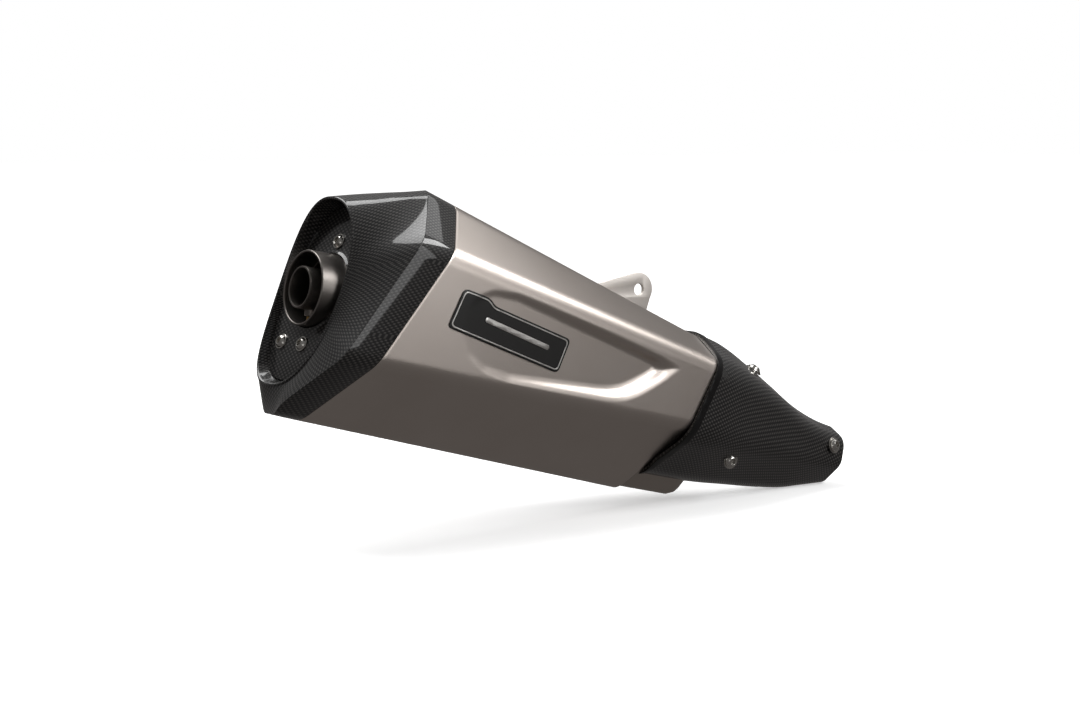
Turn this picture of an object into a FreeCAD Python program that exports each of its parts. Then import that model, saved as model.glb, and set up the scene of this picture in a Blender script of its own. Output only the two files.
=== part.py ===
import FreeCAD, Part
import collections
import math
import os

V = FreeCAD.Vector

# ---------------------------------------------------------------------------
# Driving dimensions, millimetres and degrees.
# Everything is drawn in the muffler's own frame: X runs along the outlet tube
# towards the engine, Y towards the wheel, Z up, with zero at the outlet rim.
# Export turns it nose-down by CAN_PITCH and puts zero at the inlet mouth.
# ---------------------------------------------------------------------------
CAN_PITCH = 11.26

# Sleeve section: four corners of one half, each a straight line along X.
# (x1, half width, height, x2, half width, height, corner radius)
TOP_CORNER = (94.0, 19.0, 72.5, 318.0, 14.0, 17.0, 22.0)
UPPER_SIDE = (75.0, 57.0, 38.0, 312.0, 56.0, -2.0, 18.0)
LOWER_SIDE = (33.0, 57.0, -42.0, 295.0, 55.0, -51.0, 15.0)
BOTTOM_CORNER = (7.0, 14.0, -86.0, 300.0, 8.0, -104.0, 12.0)
ARC_POINTS = 5

# Slanted faces across the muffler: x at the middle, change of x per height and
# per width, a bow that grows below one height and a turn that grows beyond one width.
Slant = collections.namedtuple("Slant", "x per_z per_y bow bow_below turn turn_beyond",
                               defaults=(0.0, 0.0, 0.0, 0.0, 0.0, 0.0))
REAR_SEAM = Slant(54.65, 0.56)
CAP_CREASE = Slant(27.65, 0.56, 0.0, 0.016, -68.0, 0.28, -20.0)
FRONT_SEAM = Slant(313.9, 0.35)
RIM_PLANE = Slant(15.65, -0.02, -0.09, -0.0015, 70.0)
PANEL_PLANE = Slant(14.0, 0.25, -0.09)
BOND_REAR = Slant(47.0, 0.56, 0.06)

# Stations between which the sleeve's corner lines are drawn, and the number of
# passes that settle a point on a slanted face.
REAR_STATION = -60.0
FRONT_STATION = 380.0
SETTLE_STEPS = 25
FLAT_LIMIT = 1e-4
WIDE = 400.0

SLEEVE_WALL = 1.2
CAP_WALL = 2.2
BOND_WALL = 1.2
SEAM_GAP = 0.35
BODY_GAP = 0.3
CLEARANCE = 0.4

# Opening in the end cap: a squared-off ellipse, a little fuller on one side.
OPENING_CENTRE = (4.0, -4.0)
OPENING_HALF_WIDTH = 33.2
OPENING_HALF_HEIGHT = 62.5
OPENING_SQUARE = 2.45
OPENING_LEAN = 0.04
OPENING_LEAN_AT = math.radians(50.0)
OPENING_DRAFT = 3.0
PANEL_THICKNESS = 2.0

# Pressed wedge in the outer side of the sleeve: outline (x, z) at the surface
# and at the floor, and the floor's depth from its rear end to its front end.
PRESS_EDGE = ((92.0, 27.0), (200.0, 7.5), (268.0, -6.5), (281.0, -10.5), (272.0, -17.0),
              (257.0, -28.0), (244.0, -36.5), (230.0, -41.5), (206.0, -42.0), (92.0, -39.0))
PRESS_FLOOR = ((92.0, 23.0), (200.0, 0.5), (250.0, -10.0), (259.0, -12.5), (254.0, -16.5),
               (241.0, -24.0), (231.0, -28.5), (219.0, -31.5), (203.0, -32.0), (92.0, -36.0))
PRESS_DEPTH = 6.0
PRESS_REAR_X = 92.0
PRESS_FRONT_X = 262.0
PRESS_SURFACE_Y = -57.0
PRESS_REACH = 3.0
PRESS_MIDDLE_Z = -15.0

# Gas path.
OUTLET_OUTER = 25.0
TUBE_WALL = 1.5
OUTLET_STRAIGHT = 50.0
RIM_BREAK = 0.6
OUTLET_BEND = 200.0
PATH_TILT = 9.0
CORE_LENGTH = 205.0
CORE_ROWS = 15
CORE_HOLES = 12
CORE_HOLE = 2.5
CORE_MARGIN = 15.0
WOOL_RUN = (92.0, 272.0)
WOOL_THICK = 5.0
CONE_LENGTH = 30.0
LINK_OUTER = 17.5
LINK_WALL = 1.2
LINK_FRONT_X = 396.9
LINK_BEND = 250.0
SOCKET_BORE = 18.2
SOCKET_OUTER = 19.8
SOCKET_LENGTH = 38.0
SOCKET_GRIP = 6.0
SOCKET_FIT = 0.15
SOCKET_SLOT = (3.0, 34.0)

# Noise damper.
DAMPER_PIPE = 14.0
DAMPER_WALL = 1.5
DAMPER_LIP = 2.4
DAMPER_NECK = 16.0
DAMPER_CONE = 14.0
DAMPER_COLLAR = 18.0
DAMPER_FIT = 0.1
DAMPER_TAIL_WALL = 1.0
DAMPER_LUG = 4.0
JACK_X = 9.0
JACK_RADIUS = 2.0
JACK_FIT = 0.12
JACK_HEX = (2.0, 2.5)

# Front cap and bulkheads.
NOSE_STEPS = ((326.0, 3.2), (332.0, 5.2), (336.0, 8.2), (338.5, 12.2))
NOSE_REAR = 14.0
COLLAR_SET = 3.8
COLLAR_LENGTH = 8.0
COLLAR_WALL = 3.0
BULKHEAD_SET = 16.0
BULKHEAD_WALL = 1.5
BULKHEAD_FLANGE = 8.0

# Fasteners.
HEAD_RADIUS = 4.4
HEAD_HEIGHT = 2.8
FLANGE_RADIUS = 5.3
FLANGE_HEIGHT = 0.9
HEX_ACROSS = 4.0
HEX_DEPTH = 2.0
SCREW_RADIUS = 3.0
SCREW_FIT = 0.1
SCREW_LENGTH = 11.0
CAP_SCREWS = ((20.5, -37.0), (-2.5, -36.5), (0.7, 34.0))
BOSS_RADIUS = 5.5

# Hanger bracket.
HANGER_Y = 45.0
HANGER_PLATE = 3.0
HANGER_EYE = (309.6, 43.8)
HANGER_EYE_RADIUS = 12.5
HANGER_HOLE = 4.4
HANGER_FOOT = (224.0, 316.0)
HANGER_LIFT = 2.3
HANGER_TOUCH = (112.0, -20.0)
PAD_LIFT = 1.9
PAD_WIDTH = 19.0

# Clamp on the inlet socket.
CLAMP_CENTRE = 445.0
CLAMP_WIDTH = 12.0
CLAMP_INNER = 20.0
CLAMP_OUTER = 21.2
EAR_REACH = 33.0
EAR_GAP = 7.0
EAR_PLATE = 2.4
CLAMP_BOLT = (27.5, 2.9)
CLAMP_HEAD = (4.6, 5.5)
CLAMP_HEX = 4.0
CLAMP_TAIL = 7.0
NUT_SIDE = 9.0
NUT_HEIGHT = 5.0

# Heat shield stations: x, top, upper side, lower side, bottom, half width.
SHIELD_STATIONS = ((286.0, 24.5, 4.0, -58.0, -89.5, 57.5),
                   (320.0, 17.5, -3.0, -57.0, -90.5, 56.5),
                   (345.0, 12.5, -8.0, -58.0, -90.5, 52.0),
                   (372.0, 2.0, -15.0, -59.0, -89.5, 46.0),
                   (400.0, -10.5, -24.0, -60.0, -88.5, 40.0),
                   (428.0, -23.0, -34.0, -61.5, -86.5, 34.0),
                   (455.0, -31.0, -40.5, -62.0, -81.5, 29.5),
                   (484.0, -35.5, -44.0, -61.5, -75.5, 26.0))
SHIELD_ROUND = 0.42
SHIELD_WALL = 2.0
SHIELD_FAR_EDGE = 16.0
SHIELD_FRONT = 472.5
SHIELD_SCREW_LENGTH = 7.0
SHIELD_BOSS = 4.0
SHIELD_SEAT_GAP = 1.6
SHIELD_UNDERSIDE = -58.0
SHIELD_SKIRT_Y = -10.0
WASHER_RADIUS = 6.2
WASHER_SEAT = 0.3
WASHER_THICK = 0.8
BRACKET_WALL = 2.0
BRACKET_WIDE = 16.0
ARM_WIDE = 12.0
POST_RADIUS = 4.0
WELD_FIT = 0.05

# Shield screws: a start inside the shield and the direction each one points out.
SHIELD_AIMS = (((352.0, -20.0, -68.0), (0.0, -1.0, -0.12)),
               ((372.0, -4.0, -30.0), (0.25, -0.42, 0.9)),
               ((456.0, -5.0, -54.0), (0.15, -1.0, 0.25)))

# Badge on the sleeve: outline (x, z) on the outer side.
BADGE_OUTLINE = ((79.0, -10.5), (87.5, 16.5), (109.0, 13.0),
                 (114.0, 8.5), (181.5, -4.5), (175.0, -28.5))
BADGE_RUN = (60.0, 200.0)
BADGE_PLATE = 0.8
BADGE_GAP = 0.1
BADGE_ROUND = 2.5


# ---------------------------------------------------------------------------
# Section geometry
# ---------------------------------------------------------------------------
def line_at(corner, x):
    """Half width and height of one sleeve corner at a station."""
    share = (x - corner[0]) / (corner[3] - corner[0])
    width = corner[1] + share * (corner[4] - corner[1])
    height = corner[2] + share * (corner[5] - corner[2])
    return width, height, corner[6]


def sleeve_corners(x):
    """All eight corners (y, z, radius) of the sleeve, going round once."""
    half = [line_at(c, x) for c in (TOP_CORNER, UPPER_SIDE, LOWER_SIDE, BOTTOM_CORNER)]
    near = [(-w, z, r) for w, z, r in half]
    far = [(w, z, r) for w, z, r in reversed(half)]
    return near + far


def inset_corners(corners, inset):
    """Move every side of a convex outline inwards by the same distance."""
    count = len(corners)
    moved = []
    for i in range(count):
        y0, z0, _ = corners[i - 1]
        y1, z1, r1 = corners[i]
        y2, z2, _ = corners[(i + 1) % count]
        a = V(y1 - y0, z1 - z0, 0).normalize()
        b = V(y2 - y1, z2 - z1, 0).normalize()
        na = V(-a.y, a.x, 0)
        nb = V(-b.y, b.x, 0)
        spread = 1.0 + na.dot(nb)
        shift = (na + nb) * (inset / spread)
        moved.append((y1 + shift.x, z1 + shift.y, max(r1 - inset, 1.0)))
    return moved


def rounded_spans(corners):
    """Straight and rounded spans of an outline, as lists of (y, z) points."""
    count = len(corners)
    arcs = []
    for i in range(count):
        y0, z0, _ = corners[i - 1]
        y1, z1, r1 = corners[i]
        y2, z2, _ = corners[(i + 1) % count]
        p = V(y1, z1, 0)
        a = (V(y0, z0, 0) - p).normalize()
        b = (V(y2, z2, 0) - p).normalize()
        half_angle = a.getAngle(b) / 2.0
        reach = r1 / math.tan(half_angle)
        centre = p + (a + b).normalize() * (r1 / math.sin(half_angle))
        start = p + a * reach - centre
        end = p + b * reach - centre
        sweep = start.getAngle(end)
        points = []
        for k in range(ARC_POINTS):
            t = k / (ARC_POINTS - 1.0)
            mix = start * (math.sin((1 - t) * sweep) / math.sin(sweep))
            mix = mix + end * (math.sin(t * sweep) / math.sin(sweep))
            points.append((centre.x + mix.x, centre.y + mix.y))
        arcs.append(points)
    spans = []
    for i in range(count):
        spans.append(arcs[i])
        first = arcs[i][-1]
        last = arcs[(i + 1) % count][0]
        steps = ARC_POINTS - 1
        rise = (last[0] - first[0], last[1] - first[1])
        flat = [(first[0] + rise[0] * k / steps, first[1] + rise[1] * k / steps) for k in range(ARC_POINTS)]
        spans.append(flat)
    return spans


def sleeve_ring(plane, inset):
    """Section of the sleeve's wedge where a slanted plane crosses it."""
    rear = rounded_spans(inset_corners(sleeve_corners(REAR_STATION), inset))
    front = rounded_spans(inset_corners(sleeve_corners(FRONT_STATION), inset))
    run = FRONT_STATION - REAR_STATION
    ring = []
    for span_r, span_f in zip(rear, front):
        points = []
        for (y0, z0), (y1, z1) in zip(span_r, span_f):
            x = plane.x
            for _ in range(SETTLE_STEPS):
                share = (x - REAR_STATION) / run
                x = face_x(plane, y0 + (y1 - y0) * share, z0 + (z1 - z0) * share)
            share = (x - REAR_STATION) / run
            points.append(V(x, y0 + (y1 - y0) * share, z0 + (z1 - z0) * share))
        ring.append(points)
    return ring


def shifted(plane, distance):
    """A plane moved along X."""
    return plane._replace(x=plane.x + distance)


def square_plane(x):
    """A plane straight across the muffler."""
    return Slant(x)


def ring_wire(ring):
    """Closed wire through the spans of a ring."""
    edges = []
    for points in ring:
        chord = points[-1] - points[0]
        middle = points[len(points) // 2]
        off = (middle - points[0]).cross(chord).Length / max(chord.Length, 1e-6)
        if off < FLAT_LIMIT:
            edges.append(Part.LineSegment(points[0], points[-1]).toShape())
        else:
            curve = Part.BSplineCurve()
            curve.interpolate(points)
            edges.append(curve.toShape())
    return Part.Wire(edges)


def ring_solid(rings):
    """Solid skinned straight from ring to ring."""
    return Part.makeLoft([ring_wire(ring) for ring in rings], True, True)


def wedge(rear_plane, front_plane, inset):
    """Length of the sleeve's wedge between two planes."""
    return ring_solid([sleeve_ring(rear_plane, inset), sleeve_ring(front_plane, inset)])


def opening_reach(angle, grow):
    """Distance from the opening's centre to its edge."""
    across = abs(math.cos(angle) / OPENING_HALF_WIDTH) ** OPENING_SQUARE
    up = abs(math.sin(angle) / OPENING_HALF_HEIGHT) ** OPENING_SQUARE
    reach = (across + up) ** (-1.0 / OPENING_SQUARE)
    return reach * (1.0 + OPENING_LEAN * math.cos(angle - OPENING_LEAN_AT)) + grow


def face_x(plane, y, z):
    """Where a slanted face stands along X."""
    x = plane.x + plane.per_z * z + plane.per_y * y
    x += plane.bow * min(z - plane.bow_below, 0.0) ** 2
    return x + plane.turn * max(y - plane.turn_beyond, 0.0)


def opening_ring(plane, grow):
    """Edge of the cap's opening on a plane, with spans matched to the crease."""
    ring = []
    for span in sleeve_ring(CAP_CREASE, 0.0):
        points = []
        for p in span:
            angle = math.atan2(p.z - OPENING_CENTRE[1], p.y - OPENING_CENTRE[0])
            reach = opening_reach(angle, grow)
            y = OPENING_CENTRE[0] + reach * math.cos(angle)
            z = OPENING_CENTRE[1] + reach * math.sin(angle)
            points.append(V(face_x(plane, y, z), y, z))
        ring.append(points)
    return ring


# ---------------------------------------------------------------------------
# Small solids
# ---------------------------------------------------------------------------
def rod(start, end, radius):
    """Solid cylinder from point to point."""
    along = end - start
    return Part.makeCylinder(radius, along.Length, start, along)


def ring_tube(start, end, outer, inner):
    """Hollow cylinder from point to point."""
    along = (end - start).normalize()
    return rod(start, end, outer).cut(rod(start - along, end + along, inner))


def bent_ring(start, direction, pivot, turn, outer, inner):
    """Stretch of tube, or of bar if inner is zero, bent about a pivot."""
    face = Part.Face(Part.Wire(Part.makeCircle(outer, start, direction)))
    if inner > 0:
        face = face.cut(Part.Face(Part.Wire(Part.makeCircle(inner, start, direction))))
    return face.revolve(pivot, V(0, 1, 0), turn)


def hexagon(across, height, at, along):
    """Hexagonal prism used to cut a socket."""
    reach = across / math.sqrt(3.0)
    points = []
    for k in range(7):
        angle = math.radians(60.0 * k)
        points.append(V(reach * math.cos(angle), reach * math.sin(angle), 0))
    prism = Part.Face(Part.makePolygon(points)).extrude(V(0, 0, height))
    prism.Placement = FreeCAD.Placement(at, FreeCAD.Rotation(V(0, 0, 1), along))
    return prism


def button_screw(seat, outward, length):
    """Flanged button-head screw seated at a point, head pointing outward."""
    out = V(outward).normalize()
    flange = rod(seat, seat + out * FLANGE_HEIGHT, FLANGE_RADIUS)
    base = seat + out * FLANGE_HEIGHT
    head = rod(base, base + out * HEAD_HEIGHT, HEAD_RADIUS)
    dome = (HEAD_RADIUS ** 2 + HEAD_HEIGHT ** 2) / (2.0 * HEAD_HEIGHT)
    ball = Part.makeSphere(dome, base + out * (HEAD_HEIGHT - dome))
    head = head.common(ball)
    shank = rod(seat - out * length, seat + out * FLANGE_HEIGHT, SCREW_RADIUS)
    screw = shank.fuse(flange).fuse(head)
    socket = hexagon(HEX_ACROSS, HEX_DEPTH + 1.0, base + out * (HEAD_HEIGHT - HEX_DEPTH), out)
    return screw.cut(socket).removeSplitter()


def slab(plane, thickness):
    """Very wide slab whose rear face lies on a plane."""
    points = []
    for y, z in ((-WIDE, -WIDE), (WIDE, -WIDE), (WIDE, WIDE), (-WIDE, WIDE)):
        points.append(V(face_x(plane, y, z), y, z))
    return Part.Face(Part.makePolygon(points + points[:1])).extrude(V(thickness, 0, 0))


def outline_wire(points):
    """Closed wire with straight sides through 3-D points."""
    return Part.makePolygon(points + points[:1])


# ---------------------------------------------------------------------------
# Gas path lines
# ---------------------------------------------------------------------------
TILT = math.radians(PATH_TILT)
DOWN_PATH = V(math.cos(TILT), 0, -math.sin(TILT))
BEND_END = V(OUTLET_STRAIGHT + OUTLET_BEND * math.sin(TILT), 0, -OUTLET_BEND * (1 - math.cos(TILT)))
CORE_END = BEND_END + DOWN_PATH * CORE_LENGTH
CONE_END = CORE_END + DOWN_PATH * CONE_LENGTH
LINK_TURN = BEND_END + DOWN_PATH * ((LINK_FRONT_X - BEND_END.x) / math.cos(TILT))
LINK_END = LINK_TURN + V(LINK_BEND * math.sin(TILT), 0, -LINK_BEND * (1 - math.cos(TILT)))
MOUTH = LINK_END + V(SOCKET_LENGTH, 0, 0)


def path_point(x):
    """Centre of the straight tilted stretch at a station."""
    return BEND_END + DOWN_PATH * ((x - BEND_END.x) / math.cos(TILT))


def outlet_run(rear_x, outer, inner):
    """Outlet tube or bar, straight and then bending down."""
    knee = V(OUTLET_STRAIGHT, 0, 0)
    pivot = knee - V(0, 0, OUTLET_BEND)
    bend = bent_ring(knee, V(1, 0, 0), pivot, PATH_TILT, outer, inner)
    if inner > 0:
        return ring_tube(V(rear_x, 0, 0), knee, outer, inner).fuse(bend)
    return rod(V(rear_x, 0, 0), knee, outer).fuse(bend)


def link_run(start, outer, inner):
    """Link pipe or bar, tilted and then levelling out."""
    pivot = LINK_TURN + V(math.sin(TILT), 0, math.cos(TILT)) * LINK_BEND
    bend = bent_ring(LINK_TURN, DOWN_PATH, pivot, -PATH_TILT, outer, inner)
    if inner > 0:
        return ring_tube(start, LINK_TURN, outer, inner).fuse(bend)
    return rod(start, LINK_TURN, outer).fuse(bend)


# ---------------------------------------------------------------------------
# Sleeve, caps and shells
# ---------------------------------------------------------------------------
def press_tool(grow):
    """Wedge that presses the panel, grown by a wall for the inside face."""
    edge = []
    floor = []
    slope = PRESS_DEPTH / (PRESS_FRONT_X - PRESS_REAR_X)
    middle = V(sum(p[0] for p in PRESS_EDGE) / len(PRESS_EDGE), 0, PRESS_MIDDLE_Z)
    for (ex, ez), (fx, fz) in zip(PRESS_EDGE, PRESS_FLOOR):
        out = V(ex - middle.x, 0, ez - middle.z).normalize() * grow
        deep = slope * (fx - PRESS_REAR_X)
        reach = min(PRESS_REACH / max(deep, 0.1), 0.6)
        edge.append(V(ex + out.x + (ex - fx) * reach, PRESS_SURFACE_Y - PRESS_REACH,
                      ez + out.z + (ez - fz) * reach))
        low = PRESS_SURFACE_Y + slope * (fx + out.x - PRESS_REAR_X) + grow
        floor.append(V(fx + out.x, low, fz + out.z))
    return Part.makeLoft([outline_wire(edge), outline_wire(floor)], True, True)


def make_sleeve():
    """Pressed titanium sleeve."""
    outer = wedge(REAR_SEAM, FRONT_SEAM, 0.0).cut(press_tool(0.0))
    inner = wedge(shifted(REAR_SEAM, -5.0), shifted(FRONT_SEAM, 5.0), SLEEVE_WALL)
    return outer.cut(inner.cut(press_tool(SLEEVE_WALL)))


def nose_blank(grow):
    """Outside of the front cap, grown all round."""
    gap = SLEEVE_WALL + BODY_GAP
    rings = [sleeve_ring(shifted(FRONT_SEAM, -NOSE_REAR - grow), gap - grow)]
    for x, inset in NOSE_STEPS:
        rings.append(sleeve_ring(square_plane(x + grow), inset - grow))
    return ring_solid(rings)


def make_front_cap():
    """Bowl that closes the front of the sleeve."""
    rear_plane = shifted(FRONT_SEAM, -NOSE_REAR)
    outer = nose_blank(0.0)
    inside = [sleeve_ring(shifted(rear_plane, -5.0), SLEEVE_WALL * 2 + BODY_GAP)]
    for x, inset in NOSE_STEPS:
        inside.append(sleeve_ring(square_plane(x - SLEEVE_WALL), inset + SLEEVE_WALL))
    shell = outer.cut(ring_solid(inside))
    nose = NOSE_STEPS[-1][0]
    hole = rod(path_point(nose - 20.0), path_point(nose + 10.0), LINK_OUTER + BODY_GAP)
    return shell.cut(hole)


def make_bulkhead():
    """Inner rear plate with a flange against the sleeve."""
    gap = SLEEVE_WALL + BODY_GAP
    plane = shifted(REAR_SEAM, BULKHEAD_SET)
    body = wedge(shifted(plane, -BULKHEAD_FLANGE), shifted(plane, BULKHEAD_WALL), gap)
    hollow = wedge(shifted(plane, -BULKHEAD_FLANGE - 5.0), plane, gap + BULKHEAD_WALL)
    hole = outlet_run(-5.0, OUTLET_OUTER + BODY_GAP, 0.0)
    return body.cut(hollow).cut(hole)


def make_bond_ring():
    """Flange inside the seam that the end cap is bonded to."""
    outer = wedge(BOND_REAR, shifted(REAR_SEAM, 5.0), CAP_WALL + BODY_GAP)
    inner = wedge(shifted(BOND_REAR, -8.0), shifted(REAR_SEAM, 12.0), CAP_WALL + BODY_GAP + BOND_WALL)
    return outer.cut(inner)


def closed_skin(rings):
    """Solid whose wall runs from ring to ring and back to the first."""
    wires = [ring_wire(ring) for ring in rings]
    faces = []
    for i in range(len(wires)):
        faces += Part.makeLoft([wires[i - 1], wires[i]], False, True).Faces
    shell = Part.makeShell(faces)
    shell.sewShape()
    solid = Part.makeSolid(Part.Shell(shell.Faces))
    if solid.Volume < 0:
        solid.reverse()
    return solid


def make_end_cap():
    """Carbon end cap with its turned-in opening."""
    seam = shifted(REAR_SEAM, -SEAM_GAP)
    recess_end = shifted(PANEL_PLANE, PANEL_THICKNESS + 1.0)
    lip = CAP_WALL / 3.0
    return closed_skin([
        sleeve_ring(seam, 0.0),
        sleeve_ring(CAP_CREASE, 0.0),
        opening_ring(shifted(RIM_PLANE, lip), CAP_WALL),
        opening_ring(RIM_PLANE, CAP_WALL - lip),
        opening_ring(RIM_PLANE, lip),
        opening_ring(shifted(RIM_PLANE, lip), 0.0),
        opening_ring(recess_end, -OPENING_DRAFT),
        opening_ring(recess_end, CAP_WALL - OPENING_DRAFT),
        opening_ring(shifted(RIM_PLANE, CAP_WALL * 1.5), CAP_WALL * 0.9),
        sleeve_ring(shifted(CAP_CREASE, 1.4), CAP_WALL),
        sleeve_ring(seam, CAP_WALL)])


def make_cap_panel():
    """Carbon panel at the bottom of the recess."""
    margin = OPENING_DRAFT + BODY_GAP
    plate = ring_solid([opening_ring(PANEL_PLANE, -margin + 0.2),
                        opening_ring(shifted(PANEL_PLANE, PANEL_THICKNESS), -margin)])
    plate = plate.cut(rod(V(-30, 0, 0), V(60, 0, 0), OUTLET_OUTER + 1.0))
    for y, z in CAP_SCREWS:
        seat = panel_point(y, z, 0.0)
        plate = plate.cut(rod(seat - panel_normal() * 8, seat + panel_normal() * 12,
                              SCREW_RADIUS + BODY_GAP))
    return plate


def panel_normal():
    """Direction out of the panel, towards the rear."""
    return V(-1.0, PANEL_PLANE.per_y, PANEL_PLANE.per_z).normalize()


def panel_point(y, z, depth):
    """Point on the panel's rear face, or behind it."""
    base = V(face_x(PANEL_PLANE, y, z), y, z)
    return base - panel_normal() * depth


def make_cap_screws():
    """Screws holding the end cap's panel."""
    screws = []
    for y, z in CAP_SCREWS:
        screws.append(button_screw(panel_point(y, z, -0.1), panel_normal(), SCREW_LENGTH))
    return Part.makeCompound(screws)


def make_cap_posts():
    """Threaded posts between the rear plate and the end cap's panel."""
    plate = slab(shifted(REAR_SEAM, BULKHEAD_SET - BODY_GAP), WIDE)
    posts = []
    for y, z in CAP_SCREWS:
        top = panel_point(y, z, 0.0)
        post = rod(top - V(10, 0, 0), top + V(120, 0, 0), BOSS_RADIUS)
        post = post.cut(plate)
        drill = rod(panel_point(y, z, -1.0), panel_point(y, z, SCREW_LENGTH + 2.0), SCREW_RADIUS + SCREW_FIT)
        front = slab(shifted(PANEL_PLANE, PANEL_THICKNESS + BODY_GAP), -WIDE)
        posts.append(post.cut(drill).cut(front))
    return Part.makeCompound(posts)


# ---------------------------------------------------------------------------
# Gas path pieces
# ---------------------------------------------------------------------------
def make_outlet_tube():
    """Outlet tube with a broken outer edge at its rim."""
    inner = OUTLET_OUTER - TUBE_WALL
    rim = Part.makeCone(OUTLET_OUTER - RIM_BREAK, OUTLET_OUTER, RIM_BREAK, V(0, 0, 0), V(1, 0, 0))
    rim = rim.cut(rod(V(-1, 0, 0), V(5, 0, 0), inner))
    return rim.fuse(outlet_run(RIM_BREAK, OUTLET_OUTER, inner)).removeSplitter()


def make_core():
    """Perforated core between the outlet tube and the inlet cone."""
    start = BEND_END + DOWN_PATH * BODY_GAP
    tube = ring_tube(start, CORE_END, OUTLET_OUTER, OUTLET_OUTER - TUBE_WALL)
    side = V(0, 1, 0)
    drills = []
    pitch = (CORE_LENGTH - 2 * CORE_MARGIN) / (CORE_ROWS - 1)
    for row in range(CORE_ROWS):
        centre = start + DOWN_PATH * (CORE_MARGIN + pitch * row)
        for k in range(CORE_HOLES // 2):
            turn = 360.0 / CORE_HOLES * (k + 0.5 * (row % 2))
            out = FreeCAD.Rotation(DOWN_PATH, turn).multVec(side)
            drills.append(rod(centre - out * 40, centre + out * 40, CORE_HOLE))
    return tube.cut(Part.makeCompound(drills))


def make_wool_wrap():
    """Steel wool wrapped round the core."""
    rear, front = WOOL_RUN
    return ring_tube(path_point(rear), path_point(front), OUTLET_OUTER + WOOL_THICK, OUTLET_OUTER + BODY_GAP)


def make_packing():
    """Glass wool filling the sleeve between the two ends."""
    gap = SLEEVE_WALL + 1.0
    rear = shifted(REAR_SEAM, BULKHEAD_SET + BULKHEAD_WALL + 1.5)
    block = wedge(rear, shifted(FRONT_SEAM, -NOSE_REAR - 3.0), gap).cut(press_tool(gap))
    hole = rod(path_point(30.0), path_point(380.0), OUTLET_OUTER + WOOL_THICK + BODY_GAP)
    return block.cut(hole)


def make_inlet_cone():
    """Reducer from the link pipe up to the core."""
    start = CORE_END + DOWN_PATH * BODY_GAP
    length = CONE_LENGTH - 2 * BODY_GAP
    outer = Part.makeCone(OUTLET_OUTER, LINK_OUTER, length, start, DOWN_PATH)
    inner = Part.makeCone(OUTLET_OUTER - TUBE_WALL, LINK_OUTER - LINK_WALL, length, start, DOWN_PATH)
    return outer.cut(inner)


def make_link_pipe():
    """Link pipe through the front cap."""
    return link_run(CONE_END, LINK_OUTER, LINK_OUTER - LINK_WALL)


def make_cap_collar():
    """Collar welded round the link pipe where it enters the front cap."""
    nose = NOSE_STEPS[-1][0]
    start = path_point(nose + COLLAR_SET)
    end = start + DOWN_PATH * COLLAR_LENGTH
    return ring_tube(start, end, LINK_OUTER + COLLAR_WALL, LINK_OUTER + WELD_FIT)


def make_socket():
    """Slotted socket that takes the header pipe."""
    grip = LINK_END - V(SOCKET_GRIP, 0, 0)
    socket = ring_tube(grip, MOUTH, SOCKET_OUTER, LINK_OUTER + SOCKET_FIT)
    socket = socket.cut(rod(LINK_END, MOUTH + V(2, 0, 0), SOCKET_BORE))
    wide, deep = SOCKET_SLOT
    for turn in (45.0, 135.0):
        slot = Part.makeBox(deep, 80.0, wide, V(MOUTH.x - deep, -40.0, MOUTH.z - wide / 2))
        slot.rotate(MOUTH, V(1, 0, 0), turn)
        slot = slot.cut(Part.makeBox(deep + 2, 80, 80, V(MOUTH.x + 1, -40, MOUTH.z - 40)))
        socket = socket.cut(slot)
    return socket


# ---------------------------------------------------------------------------
# Noise damper
# ---------------------------------------------------------------------------
def damper_profile(inset):
    """Half section (x, radius) of the damper, rear to front."""
    neck = DAMPER_NECK
    collar = neck + DAMPER_CONE
    wide = OUTLET_OUTER - TUBE_WALL - DAMPER_FIT
    return ((-DAMPER_LIP, DAMPER_PIPE - inset), (neck, DAMPER_PIPE - inset),
            (collar, wide - inset), (collar + DAMPER_COLLAR, wide - inset))


def revolve_profile(points):
    """Solid of revolution about the outlet axis."""
    loop = [V(points[0][0], 0, 0)] + [V(x, 0, r) for x, r in points] + [V(points[-1][0], 0, 0)]
    return Part.Face(outline_wire(loop)).revolve(V(0, 0, 0), V(1, 0, 0), 360)


def make_damper():
    """Removable noise damper: neck, cone and collar, with a jack-screw lug."""
    body = revolve_profile(damper_profile(0.0))
    inner = list(damper_profile(DAMPER_WALL))
    inner[0] = (inner[0][0] - 2, inner[0][1])
    inner[-1] = (inner[-1][0] + 2, inner[-1][1])
    lug = rod(V(JACK_X, 0, -DAMPER_PIPE + 1.0), V(JACK_X, 0, -DAMPER_PIPE - DAMPER_LUG), JACK_RADIUS + 2.0)
    shell = body.fuse(lug).cut(revolve_profile(inner))
    hole = rod(V(JACK_X, 0, -DAMPER_PIPE + 6), V(JACK_X, 0, -DAMPER_PIPE - 12), JACK_RADIUS + 0.05)
    return shell.cut(hole).removeSplitter()


def make_damper_tail():
    """Perforated tail tube carried inside the damper's collar."""
    front = DAMPER_NECK + DAMPER_CONE + DAMPER_COLLAR
    tail = ring_tube(V(DAMPER_NECK + 2, 0, 0), V(front - 2, 0, 0), DAMPER_PIPE - DAMPER_WALL - BODY_GAP,
                     DAMPER_PIPE - DAMPER_WALL - BODY_GAP - DAMPER_TAIL_WALL)
    return tail


def make_jack_screw():
    """Jack screw that locks the damper against the outlet tube's bore."""
    foot = -(OUTLET_OUTER - TUBE_WALL - JACK_FIT)
    across, deep = JACK_HEX
    screw = rod(V(JACK_X, 0, foot), V(JACK_X, 0, -DAMPER_PIPE + 1.2), JACK_RADIUS)
    socket = hexagon(across, deep, V(JACK_X, 0, -DAMPER_PIPE - 0.8), V(0, 0, 1))
    return screw.cut(socket)


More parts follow.
